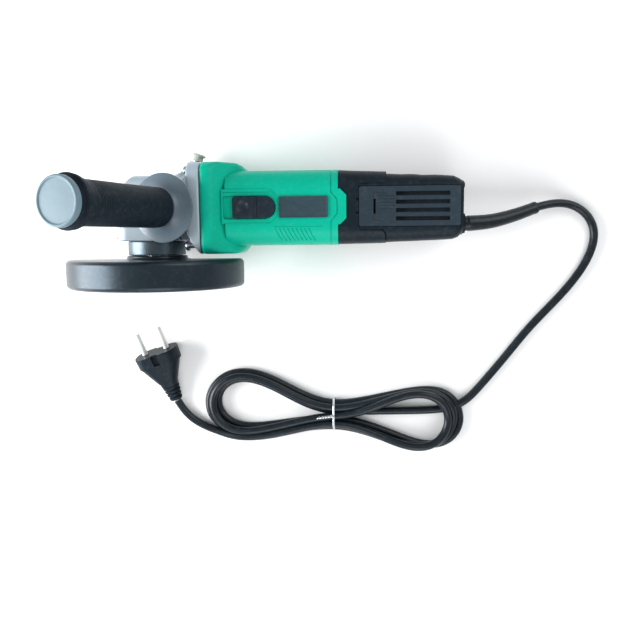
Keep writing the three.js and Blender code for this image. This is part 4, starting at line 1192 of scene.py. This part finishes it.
def motor_housing():
    front = block(SEAM + GAP / 2, BARREL_START, -SQUARE, SQUARE, -SQUARE, SQUARE)
    round_along(front, 0, 8.5)
    for side in (1, -1):
        slice_off(front, (50, 0, side * SQUARE), (4.2, 0, side * 9))
        slice_off(front, (59, 0, side * 29.8), (1.4, 0, side * 13))
        slice_off(front, (SQUARE_END, side * SQUARE, 0), (1, side, 0))
    soften(front, 3, 4, 20)
    barrel = block(60, CASING_SEAM - GAP / 2, -BARREL, BARREL, -BARREL, BARREL)
    round_along(barrel, 0, BARREL_CORNER, 12)
    frame_plate = block(57.5, 99, -11.9, 13.4, 24, BARREL + 0.55)
    round_along(frame_plate, 2, 6, 1, lambda middle: middle.x > 90)
    tongues = []
    for side in (1, -1):
        z0, z1 = sorted((side * 26.2, side * (BARREL - 0.03)))
        tongue = block(CASING_SEAM - 4, 150, -13, 13, z0, z1)
        round_along(tongue, 2, 4.6, 1, lambda middle: middle.x > 148)
        tongues.append(tongue)
    fuse(barrel, front, frame_plate, *tongues)
    cut(
        barrel,
        rod(29.5, (SEAM - 2, 0, 0), (53.5, 0, 0), 96),
        rod(25.5, (50, 0, 0), (134, 0, 0), 96),
        rod(9.8, (130, 0, 0), (CASING_SEAM - 3, 0, 0)),
        rod(4.4, (130, 0, 0), (CASING_SEAM + 2, 0, 0)),
        block(69, 92, -3.2, 3.2, 20, 30),
        block(130, CASING_SEAM + 2, -4.5, 4.5, 21.7, 25),
    )
    start, end = SLIDER_START - SWITCH_TRAVEL - 0.8, SLIDER_END + 0.6
    recess = block(start, end, -RECESS_HALF, RECESS_HALF, RECESS_FLOOR, 40)
    round_along(recess, 2, RECESS_HALF - 0.2, 10, lambda middle: middle.x > 90)
    round_along(recess, 2, 1.6, 4, lambda middle: middle.x < 70)
    cut(barrel, recess)
    for y in (-11.4, 10.9):
        cut(barrel, block(58.2, 94, y, y + 0.5, BARREL + 0.2, 33))
    soften(barrel, 0.45, 2, 34)
    cut(barrel, *seam_cutter(138.6, 143.2))
    ribs = []
    for i in range(9):
        ribs += grip_rib(100 + i * 3.1, 1) + grip_rib(100 + i * 3.1, -1)
    for side in (1, -1):
        ribs += corner_line((97, 4), (133, 4), side)
    combine(barrel, [joined(ribs)], "DIFFERENCE", overlapping=True)
    return settle(barrel, "motor_casing", "body", "green_plastic", "motor_housing", angle=30)


def name_plate():
    plate = block(100.4, 136.5, -7.8, 7.8, BARREL + GAP, BARREL + 1.1)
    round_along(plate, 2, 1, 5)
    edit(plate, "FACE", lambda face: face.normal.z > 0.9)
    bpy.ops.mesh.inset(thickness=0.9, depth=0)
    bpy.ops.mesh.inset(thickness=0.25, depth=-0.2)
    at_rest()
    soften(plate, 0.12, 2, 40)
    return settle(plate, "blank_name_plate", "body", "label", "name_plate", angle=15)


def switch_slider():
    slab = block(SLIDER_START, SLIDER_END, -SLIDER_HALF, SLIDER_HALF, RECESS_FLOOR + GAP, 31)
    round_along(slab, 2, SLIDER_HALF - 0.15, 12, lambda middle: middle.x > 90)
    round_along(slab, 2, 1.4, 4, lambda middle: middle.x < 70)
    thumb = block(SLIDER_START + 0.8, 83.4, -SLIDER_HALF + 0.6, SLIDER_HALF - 0.6, 30, 31.9)
    round_along(thumb, 2, 1.2, 4)
    slice_off(thumb, (80.6, 0, 31.9), (1.9, 0, 2.6))
    stem = block(76.5, 84.5, -2.6, 2.6, 24.2, RECESS_FLOOR + 1)
    fuse(slab, thumb, stem)
    cut(slab, block(84.0, 84.6, -9, 9, 30.4, 33))
    soften(slab, 0.5, 3, 40)
    bpy.ops.mesh.primitive_uv_sphere_add(segments=48, ring_count=24, radius=9, location=(73.6, 0.4, 39.6))
    cut(slab, bpy.context.object)
    return settle(slab, "slide_switch_button", "switch", "switch_plastic", "switch_slider")


# ---------- rear housing ----------
TAIL = 236
PANEL_START = 159
PANEL_END = 234
PANEL_HALF = 15
TAIL_HALF_Z = 27
SLOT_START = 186.4
SLOT_END = 226
SLOT_PITCH = 6.05


def rear_housing():
    shell = drawn_out(
        [
            (CASING_SEAM + GAP / 2, 0, 27.6, 27.6),
            (156, -0.2, 27.2, TAIL_HALF_Z),
            (179.5, -0.4, 26.6, TAIL_HALF_Z),
        ],
        13,
    )
    back = drawn_out(
        [
            (176, -1, 25.6, TAIL_HALF_Z - 0.05),
            (190, -1.1, 24.9, TAIL_HALF_Z - 0.05),
            (200, -1.0, 24.8, TAIL_HALF_Z - 0.05),
            (206, -1.2, 24.3, TAIL_HALF_Z - 0.05),
            (216, -1.0, 24.2, TAIL_HALF_Z - 0.05),
            (229, -1.1, 23.4, TAIL_HALF_Z - 0.05),
            (233, -1.2, 21.8, 26.2),
            (TAIL, -0.6, 19.4, 25),
        ],
        10.6,
    )
    gland = rod(8.5, (TAIL - 8, GLAND_Y, 0), (TAIL + 2.6, GLAND_Y, 0), 64)
    lip = rod(7.6, (TAIL - 8, GLAND_Y, 0), (TAIL + 4.5, GLAND_Y, 0), 64)
    knob = block(TAIL - 8, TAIL + 2.4, 11.6, 19.4, -14, 14)
    round_along(knob, 2, 3.6, 6)
    fuse(shell, back, gland, lip, knob)
    inside = drawn_out(
        [
            (CASING_SEAM - 2, 0, 24.6, 24.6),
            (156, -0.2, 24.2, 24.2),
            (179, -0.4, 23.6, 24.2),
            (231, -0.9, 20.5, 24.2),
            (TAIL - 3, -0.5, 17.5, 22),
        ],
        11,
    )
    cut(shell, inside, rod(5.9, (TAIL - 12, GLAND_Y, 0), (TAIL + 8, GLAND_Y, 0), 48))
    for side in (1, -1):
        z0, z1 = sorted((side * 25.9, side * 40))
        tongue = block(CASING_SEAM - 4, 150 + GAP, -13 - GAP, 13 + GAP, z0, z1)
        round_along(tongue, 2, 4.6, 1, lambda middle: middle.x > 148)
        z2, z3 = sorted((side * (TAIL_HALF_Z - 1.9), side * 40))
        bed = block(PANEL_START, PANEL_END, -PANEL_HALF, PANEL_HALF, z2, z3)
        z4, z5 = sorted((side * 20, side * 40))
        hole = block(PANEL_START + 4, PANEL_END - 6, -PANEL_HALF + 3, PANEL_HALF - 3, z4, z5)
        cut(shell, tongue, bed, hole)
        for y in (5.4, -4.6):
            z6, z7 = sorted((side * (TAIL_HALF_Z - 1.4), side * 40))
            cut(shell, block(157.2, 160, y - 0.9, y + 0.9, z6, z7))
    soften(shell, 0.5, 2, 34)
    lines = []
    for side in (1, -1):
        high = TAIL_HALF_Z + 3
        lines.append(bar((160, -17.2), (176.6, -17.3), 0.8, side, 25.8, high))
        lines.append(bar((176.2, -17.0), (179.0, -19.8), 0.8, side, 24.9, high))
        lines.append(bar((178.8, -19.4), (179.4, -24.8), 0.8, side, 21.6, high))
        lines.append(bar((160, 16.6), (178, 16.8), 0.6, side, 26.1, high))
    cut(shell, *lines)
    return settle(shell, "tail_casing", "body", "black_plastic", "rear_housing", angle=30)


def vent_cover(side):
    z0, z1 = sorted((side * (TAIL_HALF_Z - 1.6), side * (TAIL_HALF_Z - 0.1)))
    edge = GAP + 0.15
    cover = block(PANEL_START + edge, PANEL_END - edge, -PANEL_HALF + edge, PANEL_HALF - edge, z0, z1)
    round_along(cover, 2, 1.2, 4)
    slots = []
    for row in (-1.5, -0.5, 0.5, 1.5):
        slot = block(SLOT_START, SLOT_END, row * SLOT_PITCH - 1.55, row * SLOT_PITCH + 1.55, -40, 40)
        round_along(slot, 2, 0.5, 3)
        slots.append(slot)
    slots.append(block(169.9, 171.6, -5.4, 5.4, -40, 40))
    face = side * (TAIL_HALF_Z - 0.1)
    for row in range(5):
        y = 7.6 - row * 2.4
        f0, f1 = sorted((face - side * 0.25, face + side * 2))
        slots.append(block(172.6 + 0.5 * row, 185.4, y - 0.22, y + 0.22, f0, f1))
    f0, f1 = sorted((face - side * 0.3, face + side * 2))
    slots.append(block(169.9, 170.2, -10.4, 9.6, f0, f1))
    slots.append(block(169.9, 180, 9.4, 9.7, f0, f1))
    slots.append(block(169.9, 176, -10.4, -10.1, f0, f1))
    cut(cover, *slots)
    soften(cover, 0.22, 2, 40)
    z0, z1 = sorted((side * 21.4, side * 22.2))
    screen = block(184.2, 227.4, -11.6, 11.6, z0, z1)
    z0, z1 = sorted((side * 21.6, side * 26))
    ends = [block(x, x + 1.2, -11.4, 11.4, z0, z1) for x in (184.4, 226.1)]
    fuse(cover, *ends, screen)
    name = "left" if side > 0 else "right"
    node = f"vent_cover_{name}"
    return settle(cover, f"vent_panel_{name}", "body", "black_plastic", node, look="vent_plastic")


def cord_protector():
    line = smooth_line(PROTECTOR_ROUTE, 0.6)
    shares = np.linspace(0, 1, len(line))
    steps = [(0, 6.4), (0.06, 6.4), (0.07, 5.5), (0.2, 5.6), (0.21, 6.0), (0.96, 4.7), (0.97, 4.95), (1, 4.6)]
    radii = np.interp(shares, *zip(*steps))
    piece = to_mesh(tube_along("protector", line, 1.0, radii, 12))
    return settle(piece, "cord_relief", "body", "cord_rubber", "cord_protector", angle=50)


# ---------- plug ----------
PLUG_TAIL = (3.6, -159.2, FLOOR + 4.75)
PLUG_TURN = (0, -10.5, 108.2)
PLUG_FACE = 46
PIN_R = 2.4
PIN_LENGTH = 19
PIN_SPACING = 19


def placed_plug(piece):
    return moved(piece, PLUG_TAIL, PLUG_TURN)


def plug():
    body = drawn_out(
        [
            (14, 0, 7.0, 6.0),
            (17.5, 0, 7.6, 6.6),
            (19, 0, 8.6, 7.2),
            (27, 0, 12.6, 9.2),
            (34, 0, 16.2, 10.6),
            (36, 0, 16.8, 11),
        ],
        4.5,
    )
    rim = drawn_out([(35.4, 0, 18.1, 11.2), (45, 0, 18.6, 12.5), (PLUG_FACE, 0, 18.3, 12.2)], 10.3, 12)
    relief = [(0, 0.6)]
    for i in range(4):
        low = 0.8 + i * 3.5
        radius = 5.5 + i * 0.55
        relief += [(radius - 0.6, low - 0.2), (radius, low + 0.4), (radius + 0.2, low + 2)]
        relief += [(radius - 0.4, low + 2.4), (radius - 1.6, low + 2.5), (radius - 1.6, low + 3.2)]
    relief += [(6.2, 14.9), (6.6, 16.5), (0, 16.5)]
    boot = moved(turned(relief, 64), turn=(0, 0, -90))
    boot.scale = (1, 1, 0.86)
    apply_place(boot)
    fuse(rim, body, boot)
    for side in (1, -1):
        z0, z1 = sorted((side * 9.4, side * 16))
        cut(rim, block(36.8, PLUG_FACE + 2, -2.6, 2.6, z0, z1))
        inset = drawn_out([(20.5, 0, 5.2, 0.5), (32.4, 0, 11, 0.5)], 0.3, 1)
        moved(inset, (-2.6, 0, side * 2.8), (0, -side * 13.2, 0))
        cut(rim, inset)
    soften(rim, 0.5, 2, 38)
    placed_plug(rim)
    settle(rim, "mains_plug", "body", "black_plastic", "plug_body", angle=35)
    pins = []
    for i, side in enumerate((1, -1), 1):
        low = PLUG_FACE + GAP
        pin = turned(
            [(0, low), (PIN_R, low), (PIN_R, low + PIN_LENGTH - 2.4)]
            + arc((PIN_R - 1.6, low + PIN_LENGTH - 1.6), 1.6, 20, 90, 6)
            + [(0, low + PIN_LENGTH)],
            48,
        )
        moved(pin, (0, side * PIN_SPACING / 2, 0), (0, 0, -90))
        placed_plug(pin)
        pins.append(settle(pin, f"mains_pin_{i}", "body", "steel", f"plug_pin_{i}", look="pin_metal"))
    return [rim, *pins]


gear_housing()
bearing_box()
add_screws()
lock_button()
guard()
guard_band()
spindle_fittings()
side_handle()
motor_housing()
name_plate()
switch_slider()
rear_housing()
vent_cover(1)
vent_cover(-1)
cord_protector()
plug_pieces = plug()
